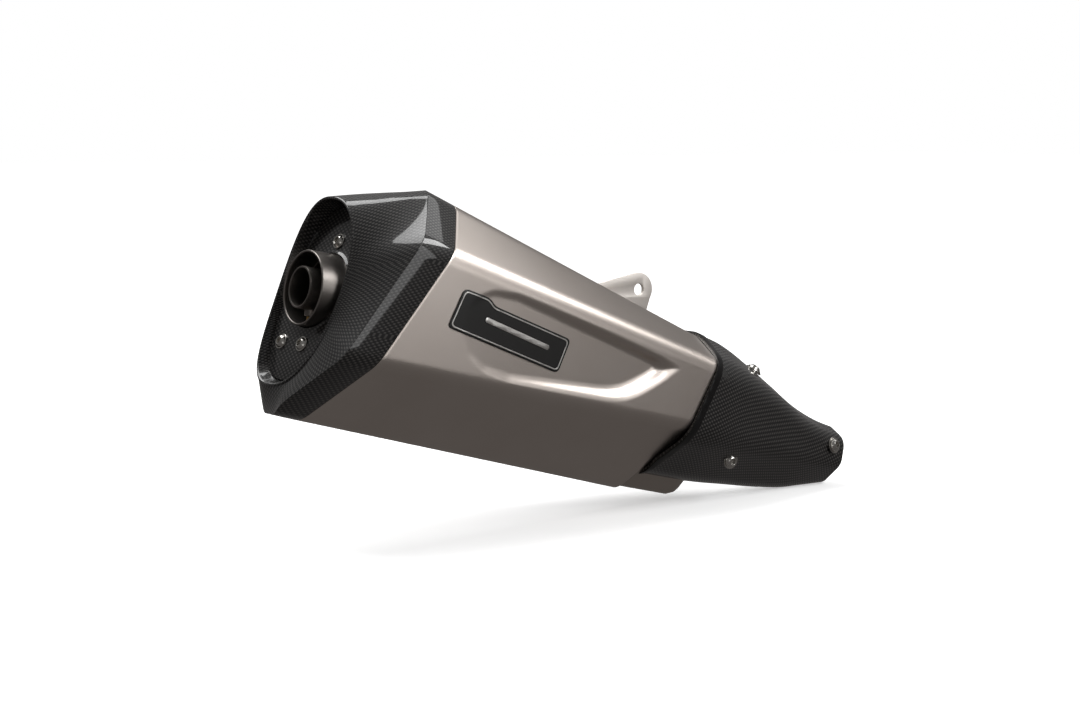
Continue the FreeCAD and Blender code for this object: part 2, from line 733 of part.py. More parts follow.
# ---------------------------------------------------------------------------
# Hanger bracket
# ---------------------------------------------------------------------------
def facet_height(x, y, lift):
    """Height of the upper facet at a station, lifted off the sleeve."""
    top_w, top_z, _ = line_at(TOP_CORNER, x)
    side_w, side_z, _ = line_at(UPPER_SIDE, x)
    return top_z + (side_z - top_z) * (y - top_w) / (side_w - top_w) + lift


def make_hanger():
    """Hanger plate with its eye."""
    rear, front = HANGER_FOOT
    eye = V(HANGER_EYE[0], HANGER_Y, HANGER_EYE[1])
    foot_rear = V(rear, HANGER_Y, facet_height(rear, HANGER_Y, HANGER_LIFT))
    foot_front = V(front, HANGER_Y, facet_height(front, HANGER_Y, HANGER_LIFT))
    touch = [math.radians(angle) for angle in HANGER_TOUCH]
    shoulder, chin = [eye + V(math.cos(a), 0, math.sin(a)) * HANGER_EYE_RADIUS for a in touch]
    side = Part.Face(outline_wire([foot_rear, shoulder, eye, chin, foot_front]))
    plate = side.extrude(V(0, HANGER_PLATE, 0))
    disc = rod(eye, eye + V(0, HANGER_PLATE, 0), HANGER_EYE_RADIUS)
    hole = rod(eye - V(0, 2, 0), eye + V(0, HANGER_PLATE + 2, 0), HANGER_HOLE)
    return plate.fuse(disc).cut(hole).removeSplitter()


def make_hanger_pad():
    """Doubler pad between the sleeve and the hanger plate."""
    rear, front = HANGER_FOOT
    lifted = wedge(square_plane(rear - 6.0), square_plane(front - 14.0), -PAD_LIFT)
    inside = wedge(square_plane(rear - 16.0), square_plane(front + 6.0), -BODY_GAP)
    skin = lifted.cut(inside)
    window = Part.makeBox(WIDE, PAD_WIDTH, 80.0, V(rear - 20.0, HANGER_Y - 13.0, -15.0))
    return skin.common(window)


# ---------------------------------------------------------------------------
# Clamp
# ---------------------------------------------------------------------------
def make_clamp_band():
    """Band with two ears, open on the wheel side."""
    rear = V(CLAMP_CENTRE - CLAMP_WIDTH / 2, 0, MOUTH.z)
    front = V(CLAMP_CENTRE + CLAMP_WIDTH / 2, 0, MOUTH.z)
    band = ring_tube(rear, front, CLAMP_OUTER, CLAMP_INNER)
    ears = []
    for side in (-1, 1):
        low = EAR_GAP / 2 if side > 0 else -EAR_GAP / 2 - EAR_PLATE
        ears.append(Part.makeBox(CLAMP_WIDTH, EAR_REACH - CLAMP_INNER + 1.0, EAR_PLATE,
                                 V(rear.x, CLAMP_INNER - 1.0, MOUTH.z + low)))
    clamp = band.fuse(ears[0]).fuse(ears[1])
    clamp = clamp.cut(rod(rear - V(2, 0, 0), front + V(2, 0, 0), CLAMP_INNER))
    clamp = clamp.cut(Part.makeBox(CLAMP_WIDTH + 4, 30, EAR_GAP, V(rear.x - 2, 8, MOUTH.z - EAR_GAP / 2)))
    reach, radius = CLAMP_BOLT
    hole = rod(V(CLAMP_CENTRE, reach, MOUTH.z - 20), V(CLAMP_CENTRE, reach, MOUTH.z + 20), radius + 0.2)
    return clamp.cut(hole).removeSplitter()


def make_clamp_bolt():
    """Cap screw across the clamp's ears."""
    reach, radius = CLAMP_BOLT
    top = MOUTH.z + EAR_GAP / 2 + EAR_PLATE + 0.1
    low = MOUTH.z - EAR_GAP / 2 - EAR_PLATE - CLAMP_TAIL
    head_radius, head_height = CLAMP_HEAD
    shank = rod(V(CLAMP_CENTRE, reach, low), V(CLAMP_CENTRE, reach, top), radius)
    head = rod(V(CLAMP_CENTRE, reach, top), V(CLAMP_CENTRE, reach, top + head_height), head_radius)
    socket = hexagon(CLAMP_HEX, head_height, V(CLAMP_CENTRE, reach, top + 3.0), V(0, 0, 1))
    return shank.fuse(head).cut(socket).removeSplitter()


def make_clamp_nut():
    """Square nut under the lower ear."""
    reach, radius = CLAMP_BOLT
    top = MOUTH.z - EAR_GAP / 2 - EAR_PLATE - 0.05
    nut = Part.makeBox(NUT_SIDE, NUT_SIDE, NUT_HEIGHT,
                       V(CLAMP_CENTRE - NUT_SIDE / 2, reach - NUT_SIDE / 2, top - NUT_HEIGHT))
    return nut.cut(rod(V(CLAMP_CENTRE, reach, top - 8), V(CLAMP_CENTRE, reach, top + 2), radius + WELD_FIT))


# ---------------------------------------------------------------------------
# Heat shield
# ---------------------------------------------------------------------------
def shield_ring(station, inset):
    """One full ring of the heat shield's outside, or inside if inset."""
    x, top, upper, lower, bottom, half = station
    radius = half * SHIELD_ROUND
    near = [(-half * 0.32, top, radius), (-half, upper, radius),
            (-half, lower, radius), (-half * 0.38, bottom, radius)]
    far = [(-y, z, r) for y, z, r in reversed(near)]
    spans = rounded_spans(inset_corners(near + far, inset))
    return [[V(x, y, z) for y, z in span] for span in spans]


def shield_body(inset):
    """Smooth solid through all the shield's stations."""
    wires = [ring_wire(shield_ring(station, inset)) for station in SHIELD_STATIONS]
    return Part.makeLoft(wires, True, False)


def make_shield():
    """Carbon heat shield, open towards the wheel and at both ends."""
    shell = shield_body(0.0).cut(shield_body(SHIELD_WALL))
    keep = slab(shifted(FRONT_SEAM, SEAM_GAP), SHIELD_FRONT)
    shell = shell.common(keep)
    rear_x = FRONT_SEAM.x - WIDE / 2
    shell = shell.cut(Part.makeBox(WIDE, WIDE, WIDE, V(rear_x, SHIELD_FAR_EDGE, -WIDE / 2)))
    shell = shell.cut(Part.makeBox(WIDE, WIDE, WIDE, V(rear_x, SHIELD_SKIRT_Y, SHIELD_UNDERSIDE - WIDE)))
    shell = shell.cut(Part.makeBox(WIDE, WIDE, WIDE, V(SHIELD_FRONT, -WIDE / 2, -WIDE / 2)))
    for seat, out in shield_seats():
        shell = shell.cut(rod(seat - out * 10, seat + out * 10, SCREW_RADIUS + BODY_GAP))
        shell = shell.cut(rod(seat, seat + out * 10, WASHER_RADIUS + BODY_GAP))
    return shell.cut(nose_blank(CLEARANCE))


def shield_zone():
    """Space the shield's wall takes, with clearance, that its brackets keep out of."""
    return shield_body(-SHIELD_WALL).cut(shield_body(SHIELD_WALL + CLEARANCE))


def shield_seats():
    """Where each shield screw sits on the shield, and which way is out."""
    body = shield_body(0.0)
    seats = []
    for begin, aim in SHIELD_AIMS:
        start = V(*begin)
        out = V(*aim).normalize()
        ray = Part.LineSegment(start, start + out * 90).toShape()
        inside = ray.common(body)
        far = max((v.Point for v in inside.Vertexes), key=lambda p: (p - start).dot(out))
        seats.append((far, out))
    return seats


def make_shield_screws():
    """Screws through the heat shield."""
    screws = []
    for seat, out in shield_seats():
        rise = WASHER_SEAT + WASHER_THICK + 0.1
        screws.append(button_screw(seat + out * rise, out, SHIELD_SCREW_LENGTH + rise))
    return Part.makeCompound(screws)


def make_shield_washers():
    """Washers under the shield screws' heads."""
    rings = []
    for seat, out in shield_seats():
        rings.append(ring_tube(seat + out * WASHER_SEAT, seat + out * (WASHER_SEAT + WASHER_THICK),
                               WASHER_RADIUS, SCREW_RADIUS + SCREW_FIT * 2))
    return Part.makeCompound(rings)


def shield_boss(index):
    """Blank boss behind one shield screw, its drill and its inner end."""
    seat, out = shield_seats()[index]
    top = seat - out * (SHIELD_WALL + SHIELD_SEAT_GAP)
    foot = top - out * SHIELD_BOSS
    return rod(foot, top, BOSS_RADIUS), rod(foot - out * 8, top + out, SCREW_RADIUS + SCREW_FIT), foot


def make_lower_bracket():
    """Angle on the front cap that carries the lower shield screw."""
    boss, drill, foot = shield_boss(0)
    nose = NOSE_STEPS[-1][0] + BODY_GAP
    corner = V(nose, foot.y - 0.5, foot.z - BRACKET_WIDE / 2)
    plate = Part.makeBox(foot.x + 7.0 - nose, 2.5, BRACKET_WIDE, corner)
    tab = Part.makeBox(BRACKET_WALL, 12.0, BRACKET_WIDE, corner)
    return plate.fuse(tab).fuse(boss).cut(drill).cut(shield_zone()).removeSplitter()


def make_top_post():
    """Post on the link pipe that carries the top shield screw."""
    boss, drill, foot = shield_boss(1)
    root = path_point(foot.x - 6.0)
    stem = rod(root, foot + (foot - root).normalize() * 0.5, POST_RADIUS)
    pipe = rod(path_point(300.0), path_point(400.0), LINK_OUTER + WELD_FIT)
    post = stem.cut(pipe).fuse(boss)
    return post.cut(drill).cut(shield_zone()).removeSplitter()


def make_front_arm():
    """Arm on the link pipe that carries the front shield screw."""
    boss, drill, foot = shield_boss(2)
    start = LINK_TURN.x + 8.0
    side = foot.y - BRACKET_WALL - CLEARANCE
    plate = Part.makeBox(foot.x + 6.0 - start, BRACKET_WALL, ARM_WIDE, V(start, side, foot.z - ARM_WIDE / 2))
    block = Part.makeBox(ARM_WIDE, 8.0, 8.0, V(start, side, LINK_END.z - 2.0))
    arm = plate.fuse(block).cut(link_run(CONE_END, LINK_OUTER + WELD_FIT, 0.0))
    return arm.fuse(boss).cut(drill).cut(shield_zone()).removeSplitter()


def make_badge():
    """Plain plate on the sleeve's outer side."""
    points = [V(x, PRESS_SURFACE_Y - 13.0, z) for x, z in BADGE_OUTLINE]
    prism = Part.Face(outline_wire(points)).extrude(V(0, 20, 0))
    upright = [edge for edge in prism.Edges if abs(edge.tangentAt(edge.FirstParameter).y) > 0.99]
    prism = prism.makeFillet(BADGE_ROUND, upright)
    rear, front = BADGE_RUN
    top = -BADGE_PLATE - BADGE_GAP
    full = wedge(square_plane(rear), square_plane(front), top).cut(press_tool(top))
    under = wedge(square_plane(rear - 10.0), square_plane(front + 10.0), -BADGE_GAP)
    return full.cut(under.cut(press_tool(-BADGE_GAP))).common(prism)


PIECES = {
    "outer_sleeve": make_sleeve,
    "front_cap": make_front_cap,
    "rear_bulkhead": make_bulkhead,
    "bond_ring": make_bond_ring,
    "end_cap": make_end_cap,
    "end_cap_panel": make_cap_panel,
    "end_cap_screws": make_cap_screws,
    "end_cap_posts": make_cap_posts,
    "outlet_tube": make_outlet_tube,
    "perforated_core": make_core,
    "steel_wool_wrap": make_wool_wrap,
    "packing": make_packing,
    "inlet_cone": make_inlet_cone,
    "link_pipe": make_link_pipe,
    "link_collar": make_cap_collar,
    "inlet_socket": make_socket,
    "damper": make_damper,
    "damper_tail": make_damper_tail,
    "damper_screw": make_jack_screw,
    "hanger_plate": make_hanger,
    "hanger_pad": make_hanger_pad,
    "clamp_band": make_clamp_band,
    "clamp_bolt": make_clamp_bolt,
    "clamp_nut": make_clamp_nut,
    "heat_shield": make_shield,
    "shield_screws": make_shield_screws,
    "shield_washers": make_shield_washers,
    "shield_lower_bracket": make_lower_bracket,
    "shield_top_post": make_top_post,
    "shield_front_arm": make_front_arm,
    "badge_plate": make_badge,
}


def to_row_frame(shape):
    """Zero at the inlet mouth, then nose down."""
    shape.translate(V(0, 0, 0) - MOUTH)
    shape.rotate(V(0, 0, 0), V(0, 1, 0), CAN_PITCH)
    return shape


def main():
    os.makedirs("parts", exist_ok=True)
    for name, maker in PIECES.items():
        shape = to_row_frame(maker())
        shape.exportStep("parts/" + name + ".step")
        box = shape.BoundBox
        print(name, shape.isValid(), len(shape.Solids), round(shape.Volume / 1000.0, 2),
              [round(v, 1) for v in (box.XMin, box.XMax, box.YMin, box.YMax, box.ZMin, box.ZMax)])


main()
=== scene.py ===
"""Looks of a slip-on muffler: titanium sleeve, carbon end cap and carbon heat shield.

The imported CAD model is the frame. The pieces that show are modelled again here with soft edges,
cloth and surface detail, in the muffler's own frame: X along the outlet tube towards the engine,
Y towards the wheel, Z up, zero at the outlet rim. Each one is then turned nose down into the row
frame, which has its zero at the inlet mouth.
"""

import logging
import math
from dataclasses import dataclass, field
from enum import Enum
from typing import Callable, Iterable, Sequence

import bmesh
import bpy
from mathutils import Matrix, Vector
from mathutils.kdtree import KDTree


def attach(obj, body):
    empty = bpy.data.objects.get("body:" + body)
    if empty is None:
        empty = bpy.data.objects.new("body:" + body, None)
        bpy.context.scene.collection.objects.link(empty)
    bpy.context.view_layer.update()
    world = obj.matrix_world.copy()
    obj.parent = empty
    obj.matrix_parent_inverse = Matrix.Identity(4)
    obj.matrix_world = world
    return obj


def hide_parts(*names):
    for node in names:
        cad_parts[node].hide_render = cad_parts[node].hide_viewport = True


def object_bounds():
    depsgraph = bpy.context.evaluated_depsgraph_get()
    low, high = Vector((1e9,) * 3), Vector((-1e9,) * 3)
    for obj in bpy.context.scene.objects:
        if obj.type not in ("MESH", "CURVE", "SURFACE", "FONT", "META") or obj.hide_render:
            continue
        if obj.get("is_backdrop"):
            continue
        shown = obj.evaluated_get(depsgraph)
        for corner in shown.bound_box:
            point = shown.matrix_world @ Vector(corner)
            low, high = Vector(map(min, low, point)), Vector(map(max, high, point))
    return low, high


LOG = logging.getLogger("muffler")
MM = 0.001
NOSE_DOWN = math.radians(11.26)
MOUTH = Vector((474.0086, 0.0, -55.5285))
AHEAD = Vector((1.0, 0.0, 0.0))
SIDEWAYS = Vector((0.0, 1.0, 0.0))
UPWARDS = Vector((0.0, 0.0, 1.0))
CORNER_KEEP = 0.75
KEYS_PER_MM = 50.0
CLOTH_JUMP = 100.0
ORDER_START = 3.0

Point = tuple[float, float]
Rule = Callable[[Vector], bool]


# ---------------------------------------------------------------------------
# Frame and choices
# ---------------------------------------------------------------------------
class Body(Enum):
    """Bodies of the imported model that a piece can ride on."""

    MUFFLER = "muffler"
    DAMPER = "damper"
    JACK = "damper_screw"
    CLAMP = "clamp"
    CLAMP_BOLT = "clamp_bolt"


class Part(Enum):
    """What an edit-mode selection is made of."""

    POINT = "VERT"
    EDGE = "EDGE"
    FACE = "FACE"


def can_to_row() -> Matrix:
    """Matrix from the muffler's own frame, in metres, to the row frame."""
    return Matrix.Rotation(NOSE_DOWN, 4, "Y") @ Matrix.Translation(-MOUTH * MM)


def aim_matrix(seat: Vector, outward: Vector) -> Matrix:
    """Matrix that stands a piece drawn along +X on a seat.

    Args:
        seat: Where the piece's zero goes, in mm.
        outward: Direction its +X takes.

    Returns:
        Matrix for a mesh in metres.
    """
    turn = AHEAD.rotation_difference(outward.normalized())
    return Matrix.Translation(seat * MM) @ turn.to_matrix().to_4x4()


def blend_number(a: float, b: float, share: float) -> float:
    """Number part of the way from a to b."""
    return a + (b - a) * share


def ease(share: float) -> float:
    """Soft step from 0 to 1 with level ends."""
    t = min(max(share, 0.0), 1.0)
    return t * t * (3.0 - 2.0 * t)


def soften_outline(points: Sequence[Point], rounds: int) -> list[Point]:
    """Outline with its corners cut back again and again until they are round.

    Args:
        points: Corners, going round once.
        rounds: How many times each corner is cut.

    Returns:
        The rounded outline.
    """
    line = list(points)
    near, far = CORNER_KEEP, 1.0 - CORNER_KEEP
    for _ in range(rounds):
        cut: list[Point] = []
        for (x0, z0), (x1, z1) in zip(line, line[1:] + line[:1]):
            cut.append((near * x0 + far * x1, near * z0 + far * z1))
            cut.append((far * x0 + near * x1, far * z0 + near * z1))
        line = cut
    return line


def point_key(point: Iterable[float], per_mm: float = KEYS_PER_MM) -> tuple[int, ...]:
    """Whole numbers that tell a place in mm from its neighbours."""
    return tuple(round(c * per_mm) for c in point)


def outline_distance(points: Sequence[Point], x: float, z: float) -> float:
    """Distance from a point to an outline, positive inside it."""
    best = 1e9
    inside = False
    for (x0, z0), (x1, z1) in zip(points, list(points[1:]) + [points[0]]):
        run = (x1 - x0) ** 2 + (z1 - z0) ** 2
        share = 0.0 if run == 0.0 else ((x - x0) * (x1 - x0) + (z - z0) * (z1 - z0)) / run
        share = min(max(share, 0.0), 1.0)
        best = min(best, math.hypot(x0 + share * (x1 - x0) - x, z0 + share * (z1 - z0) - z))
        if (z0 > z) != (z1 > z) and x < (x1 - x0) * (z - z0) / (z1 - z0) + x0:
            inside = not inside
    return best if inside else -best


# ---------------------------------------------------------------------------
# A mesh worked with edit-mode tools
# ---------------------------------------------------------------------------
def edge_middle(edge: bmesh.types.BMEdge) -> Vector:
    """Middle of an edge, in mm."""
    return (edge.verts[0].co + edge.verts[1].co) / 2 / MM


class Workpiece:
    """Mesh on the bench, in mm in code and in metres in its data, worked with edit-mode tools."""

    def __init__(self, name: str) -> None:
        """Take the object just added as the piece.

        Args:
            name: Name of the piece.
        """
        self.obj: bpy.types.Object = bpy.context.active_object
        self.obj.name = name
        self.obj.data.name = name
        bpy.ops.object.transform_apply(location=True, rotation=True, scale=True)
        bpy.ops.object.mode_set(mode="EDIT")
        self.clear()

    @staticmethod
    def free_hands() -> None:
        """Leave edit mode and drop every selection."""
        if bpy.context.object is not None and bpy.context.object.mode != "OBJECT":
            bpy.ops.object.mode_set(mode="OBJECT")
        bpy.ops.object.select_all(action="DESELECT")

    @classmethod
    def tube(cls, name: str, sides: int, radius: float, length: float, start: float = 0.0) -> "Workpiece":
        """Open tube primitive along X from a station."""
        cls.free_hands()
        bpy.ops.mesh.primitive_cylinder_add(vertices=sides, radius=radius * MM, depth=length * MM,
                                            end_fill_type="NOTHING", rotation=(0.0, math.pi / 2, 0.0),
                                            location=((start + length / 2) * MM, 0.0, 0.0))
        return cls(name)

    @classmethod
    def turned(cls, name: str, sides: int, profile: Sequence[Point]) -> "Workpiece":
        """Circle primitive drawn out along a profile of (station, radius), with its last rim selected."""
        piece = cls.ring(name, sides, profile[0][1], profile[0][0])
        piece.take_rim()
        piece.turn_profile(profile)
        return piece

    @classmethod
    def ring(cls, name: str, sides: int, radius: float, start: float = 0.0,
             filled: bool = False) -> "Workpiece":
        """Circle primitive across X at a station."""
        cls.free_hands()
        bpy.ops.mesh.primitive_circle_add(vertices=sides, radius=radius * MM,
                                          location=(start * MM, 0.0, 0.0), rotation=(0.0, math.pi / 2, 0.0),
                                          fill_type="NGON" if filled else "NOTHING")
        return cls(name)

    @classmethod
    def copy_node(cls, name: str, node: str) -> "Workpiece":
        """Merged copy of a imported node, still in the row frame."""
        cls.free_hands()
        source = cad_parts[node]
        obj = bpy.data.objects.new(name, source.data.copy())
        obj.data.materials.clear()
        bpy.context.scene.collection.objects.link(obj)
        bpy.context.view_layer.objects.active = obj
        obj.select_set(True)
        piece = cls(name)
        bpy.ops.mesh.select_all(action="SELECT")
        bpy.ops.mesh.customdata_custom_splitnormals_clear()
        bpy.ops.mesh.remove_doubles(threshold=1e-5)
        return piece

    def mesh(self) -> bmesh.types.BMesh:
        """Mesh being edited."""
        shape = bmesh.from_edit_mesh(self.obj.data)
        shape.verts.ensure_lookup_table()
        shape.edges.ensure_lookup_table()
        shape.faces.ensure_lookup_table()
        return shape

    def clear(self) -> None:
        """Select nothing."""
        bpy.ops.mesh.select_all(action="DESELECT")

    def take(self, part: Part, rule: Callable[[object], bool]) -> int:
        """Select only what a rule picks.

        Args:
            part: Points, edges or faces.
            rule: Test on a bmesh element.

        Returns:
            How many were picked.
        """
        self.clear()
        bpy.ops.mesh.select_mode(type=part.value)
        shape = self.mesh()
        pool = {Part.POINT: shape.verts, Part.EDGE: shape.edges, Part.FACE: shape.faces}[part]
        count = 0
        for item in pool:
            if rule(item):
                item.select_set(True)
                count += 1
        bmesh.update_edit_mesh(self.obj.data)
        return count

    def take_rim(self, rule: Rule = lambda middle: True) -> int:
        """Select the open edges whose middle passes a rule, in mm."""
        return self.take(Part.EDGE, lambda e: (e.is_boundary or e.is_wire) and rule(edge_middle(e)))

    def picked_round(self) -> list[bmesh.types.BMVert]:
        """Selected points in order of their angle about the end cap's opening."""
        return sorted((v for v in self.mesh().verts if v.select), key=lambda v: rim_angle(v.co / MM))

    def join_rims(self) -> None:
        """Bridge the two open rims and turn the faces outwards."""
        self.take_rim()
        bpy.ops.mesh.bridge_edge_loops()
        self.face_outwards()

    def lay_uv(self, spread: Callable[[bmesh.types.BMFace], Sequence[Point]]) -> None:
        """Write the cloth map, in mm, from a rule that gives the places of a face's corners."""
        shape = self.mesh()
        layer = shape.loops.layers.uv.new("cloth")
        for face in shape.faces:
            for loop, spot in zip(face.loops, spread(face)):
                loop[layer].uv = spot
        bmesh.update_edit_mesh(self.obj.data)

    def place(self, rule: Callable[[Vector], Vector], picked: bool = True) -> None:
        """Move points to where a rule puts them, in mm."""
        for v in self.mesh().verts:
            if v.select or not picked:
                v.co = rule(v.co / MM) * MM
        bmesh.update_edit_mesh(self.obj.data)

    def grow(self) -> None:
        """Extrude the selected rim in place."""
        bpy.ops.mesh.extrude_edges_move()

    def slice(self, point: Vector, normal: Vector, drop_front: bool = False, drop_back: bool = False) -> None:
        """Cut everything along a plane, and drop one side if asked."""
        bpy.ops.mesh.select_all(action="SELECT")
        bpy.ops.mesh.bisect(plane_co=point * MM, plane_no=normal.normalized(), use_fill=False,
                            clear_outer=drop_front, clear_inner=drop_back, threshold=1e-7)
        self.clear()

    def step(self, station: float, radius: float, spread: float) -> None:
        """Extrude the selected rim to another station and radius.

        Args:
            station: New place along X, in mm.
            radius: Present radius of the rim, in mm.
            spread: New radius, in mm.
        """
        self.grow()
        here = [v.co.x for v in self.mesh().verts if v.select]
        middle = sum(here) / len(here)
        bpy.ops.transform.translate(value=(station * MM - middle, 0.0, 0.0))
        share = spread / radius
        if abs(share - 1.0) > 1e-6:
            bpy.ops.transform.resize(value=(1.0, share, share), center_override=(station * MM, 0.0, 0.0))

    def turn_profile(self, profile: Sequence[Point]) -> None:
        """Follow a profile of (station, radius) with the selected rim."""
        for (_, before), (station, radius) in zip(profile, profile[1:]):
            self.step(station, before, max(radius, 0.001))
            if radius <= 0.0:
                bpy.ops.mesh.merge(type="CENTER")

    def modify(self, kind: str, **settings: object) -> None:
        """Apply one modifier.

        Args:
            kind: Modifier type.
            **settings: Its settings.
        """
        bpy.ops.object.mode_set(mode="OBJECT")
        made = self.obj.modifiers.new(kind.lower(), kind)
        for key, value in settings.items():
            setattr(made, key, value)
        bpy.ops.object.modifier_apply(modifier=made.name)
        bpy.ops.object.mode_set(mode="EDIT")

    def thicken(self, wall: float) -> None:
        """Give a skin its wall, inwards."""
        self.modify("SOLIDIFY", thickness=wall * MM, offset=-1.0, use_even_offset=True)

    def round_edges(self, width: float, angle: float = 35.0, segments: int = 2) -> None:
        """Round every edge sharper than an angle."""
        self.modify("BEVEL", width=width * MM, segments=segments, limit_method="ANGLE",
                    angle_limit=math.radians(angle), use_clamp_overlap=True)

    def face_outwards(self) -> None:
        """Turn all faces outwards after merging doubles."""
        bpy.ops.mesh.select_all(action="SELECT")
        bpy.ops.mesh.remove_doubles(threshold=2e-6)
        bpy.ops.mesh.select_all(action="SELECT")
        bpy.ops.mesh.normals_make_consistent(inside=False)
        self.clear()

    def dress(self, body: Body, finish: "Finish", slot: str, nodes: Iterable[str] = (),
              move: Matrix | None = None, smooth: float = 40.0) -> bpy.types.Object:
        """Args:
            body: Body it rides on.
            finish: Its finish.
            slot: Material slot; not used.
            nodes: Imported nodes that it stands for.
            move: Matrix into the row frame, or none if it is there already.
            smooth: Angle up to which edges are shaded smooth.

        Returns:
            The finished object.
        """
        bpy.ops.object.mode_set(mode="OBJECT")
        if move is not None:
            self.obj.data.transform(move)
        bpy.ops.object.shade_smooth_by_angle(angle=math.radians(smooth))
        self.obj.data.materials.clear()
        self.obj.data.materials.append(finish.material())
        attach(self.obj, body.value)
        for node in nodes:
            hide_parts(node)
        LOG.info("%s: %d faces", self.obj.name, len(self.obj.data.polygons))
        self.free_hands()
        return self.obj

    def repeat(self, name: str, matrix: Matrix) -> "Workpiece":
        """Copy of this piece with its own mesh, moved by a matrix."""
        self.free_hands()
        obj = bpy.data.objects.new(name, self.obj.data.copy())
        bpy.context.scene.collection.objects.link(obj)
        bpy.context.view_layer.objects.active = obj
        obj.select_set(True)
        obj.data.transform(matrix)
        return Workpiece(name)


# ---------------------------------------------------------------------------
# Finishes
# ---------------------------------------------------------------------------
def linear(code: str) -> tuple[float, float, float, float]:
    """Linear colour of an sRGB hex code."""
    parts = [int(code[i:i + 2], 16) / 255.0 for i in (1, 3, 5)]
    red, green, blue = [c / 12.92 if c <= 0.04045 else ((c + 0.055) / 1.055) ** 2.4 for c in parts]
    return (red, green, blue, 1.0)


def add_node(tree: bpy.types.NodeTree, kind: str, links: dict | None = None,
             **settings: object) -> bpy.types.Node:
    """Add a node with its settings and its links or values.

    Args:
        tree: Node tree.
        kind: Node type.
        links: Socket name or number to a value or to another node's output.
        **settings: Properties of the node.

    Returns:
        The new node.
    """
    node = tree.nodes.new(kind)
    for key, value in settings.items():
        setattr(node, key, value)
    for key, value in (links or {}).items():
        socket = node.inputs[key]
        if isinstance(value, bpy.types.NodeSocket):
            tree.links.new(value, socket)
        else:
            socket.default_value = value
    return node


@dataclass(frozen=True)
class Finish:
    """Base of all finishes: one material, made once.

    Args:
        name: Name of the material.
    """

    name: str

    def material(self) -> bpy.types.Material:
        """The finish as a material, made at its first use."""
        found = bpy.data.materials.get(self.name)
        if found is not None:
            return found
        made = bpy.data.materials.new(self.name)
        made.use_nodes = True
        tree = made.node_tree
        tree.nodes.clear()
        shader = add_node(tree, "ShaderNodeBsdfPrincipled")
        self.paint(tree, shader)
        add_node(tree, "ShaderNodeOutputMaterial", {"Surface": shader.outputs["BSDF"]})
        return made

    def paint(self, tree: bpy.types.NodeTree, shader: bpy.types.Node) -> None:
        """Set the shader up for this finish."""
        raise NotImplementedError


@dataclass(frozen=True)
class BlastedMetal(Finish):
    """Metal with a bead-blasted, satin surface: soft broad highlights over a fine even grit.

    Args:
        colour: Colour of the metal.
        stain: Colour of its slightly darker clouds.
        rough: Roughness left by the beads.
        grit: Size of the dimples in mm, drawn coarser than the real 0.1 mm so that they show.
        dent: Strength of the dimples.
    """

    colour: str = "#d3cac3"
    stain: str = "#c6bcb4"
    rough: float = 0.33
    grit: float = 0.5
    dent: float = 0.08

    def paint(self, tree: bpy.types.NodeTree, shader: bpy.types.Node) -> None:
        """Clouded metal with fine dimples."""
        place = add_node(tree, "ShaderNodeTexCoord").outputs["Object"]
        cloud = add_node(tree, "ShaderNodeTexNoise", {"Vector": place, "Scale": 18.0, "Detail": 3.0})
        grain = add_node(tree, "ShaderNodeTexNoise", {"Vector": place, "Scale": 1.0 / (self.grit * MM),
                                                      "Detail": 2.0})
        tint = add_node(tree, "ShaderNodeMix", {"Factor": cloud.outputs["Fac"], 6: linear(self.colour),
                                                7: linear(self.stain)}, data_type="RGBA")
        spread = add_node(tree, "ShaderNodeMapRange", {"Value": grain.outputs["Fac"], 3: self.rough - 0.04,
                                                       4: self.rough + 0.05})
        bump = add_node(tree, "ShaderNodeBump", {"Height": grain.outputs["Fac"], "Strength": self.dent,
                                                 "Distance": 0.2 * MM})
        shader.inputs["Metallic"].default_value = 1.0
        tree.links.new(tint.outputs[2], shader.inputs["Base Color"])
        tree.links.new(spread.outputs[0], shader.inputs["Roughness"])
        tree.links.new(bump.outputs[0], shader.inputs["Normal"])


@dataclass(frozen=True)
class BrushedMetal(Finish):
    """Turned or brushed metal: fine scratches across one direction.

    Args:
        colour: Colour of the metal.
        rough: Roughness between scratches.
        pitch: Scratch spacing in mm.
        along: Stretch of the scratch pattern on X, Y and Z.
        metal: How metallic the surface is.
        scratch: Strength of the scratches.
    """

    colour: str = "#b8b5b0"
    rough: float = 0.26
    pitch: float = 0.3
    along: tuple[float, float, float] = (1.0, 0.12, 0.12)
    metal: float = 1.0
    scratch: float = 0.15

    def paint(self, tree: bpy.types.NodeTree, shader: bpy.types.Node) -> None:
        """Metal with fine scratches and uneven gloss."""
        place = add_node(tree, "ShaderNodeTexCoord").outputs["Object"]
        drawn = add_node(tree, "ShaderNodeMapping", {"Vector": place, "Scale": self.along})
        lines = add_node(tree, "ShaderNodeTexNoise", {"Vector": drawn.outputs[0],
                                                      "Scale": 1.0 / (self.pitch * MM), "Detail": 2.0})
        smear = add_node(tree, "ShaderNodeTexNoise", {"Vector": place, "Scale": 60.0, "Detail": 3.0})
        spread = add_node(tree, "ShaderNodeMapRange", {"Value": smear.outputs["Fac"], 3: self.rough - 0.05,
                                                       4: self.rough + 0.08})
        bump = add_node(tree, "ShaderNodeBump", {"Height": lines.outputs["Fac"], "Strength": self.scratch,
                                                 "Distance": 0.1 * MM})
        shader.inputs["Base Color"].default_value = linear(self.colour)
        shader.inputs["Metallic"].default_value = self.metal
        tree.links.new(spread.outputs[0], shader.inputs["Roughness"])
        tree.links.new(bump.outputs[0], shader.inputs["Normal"])


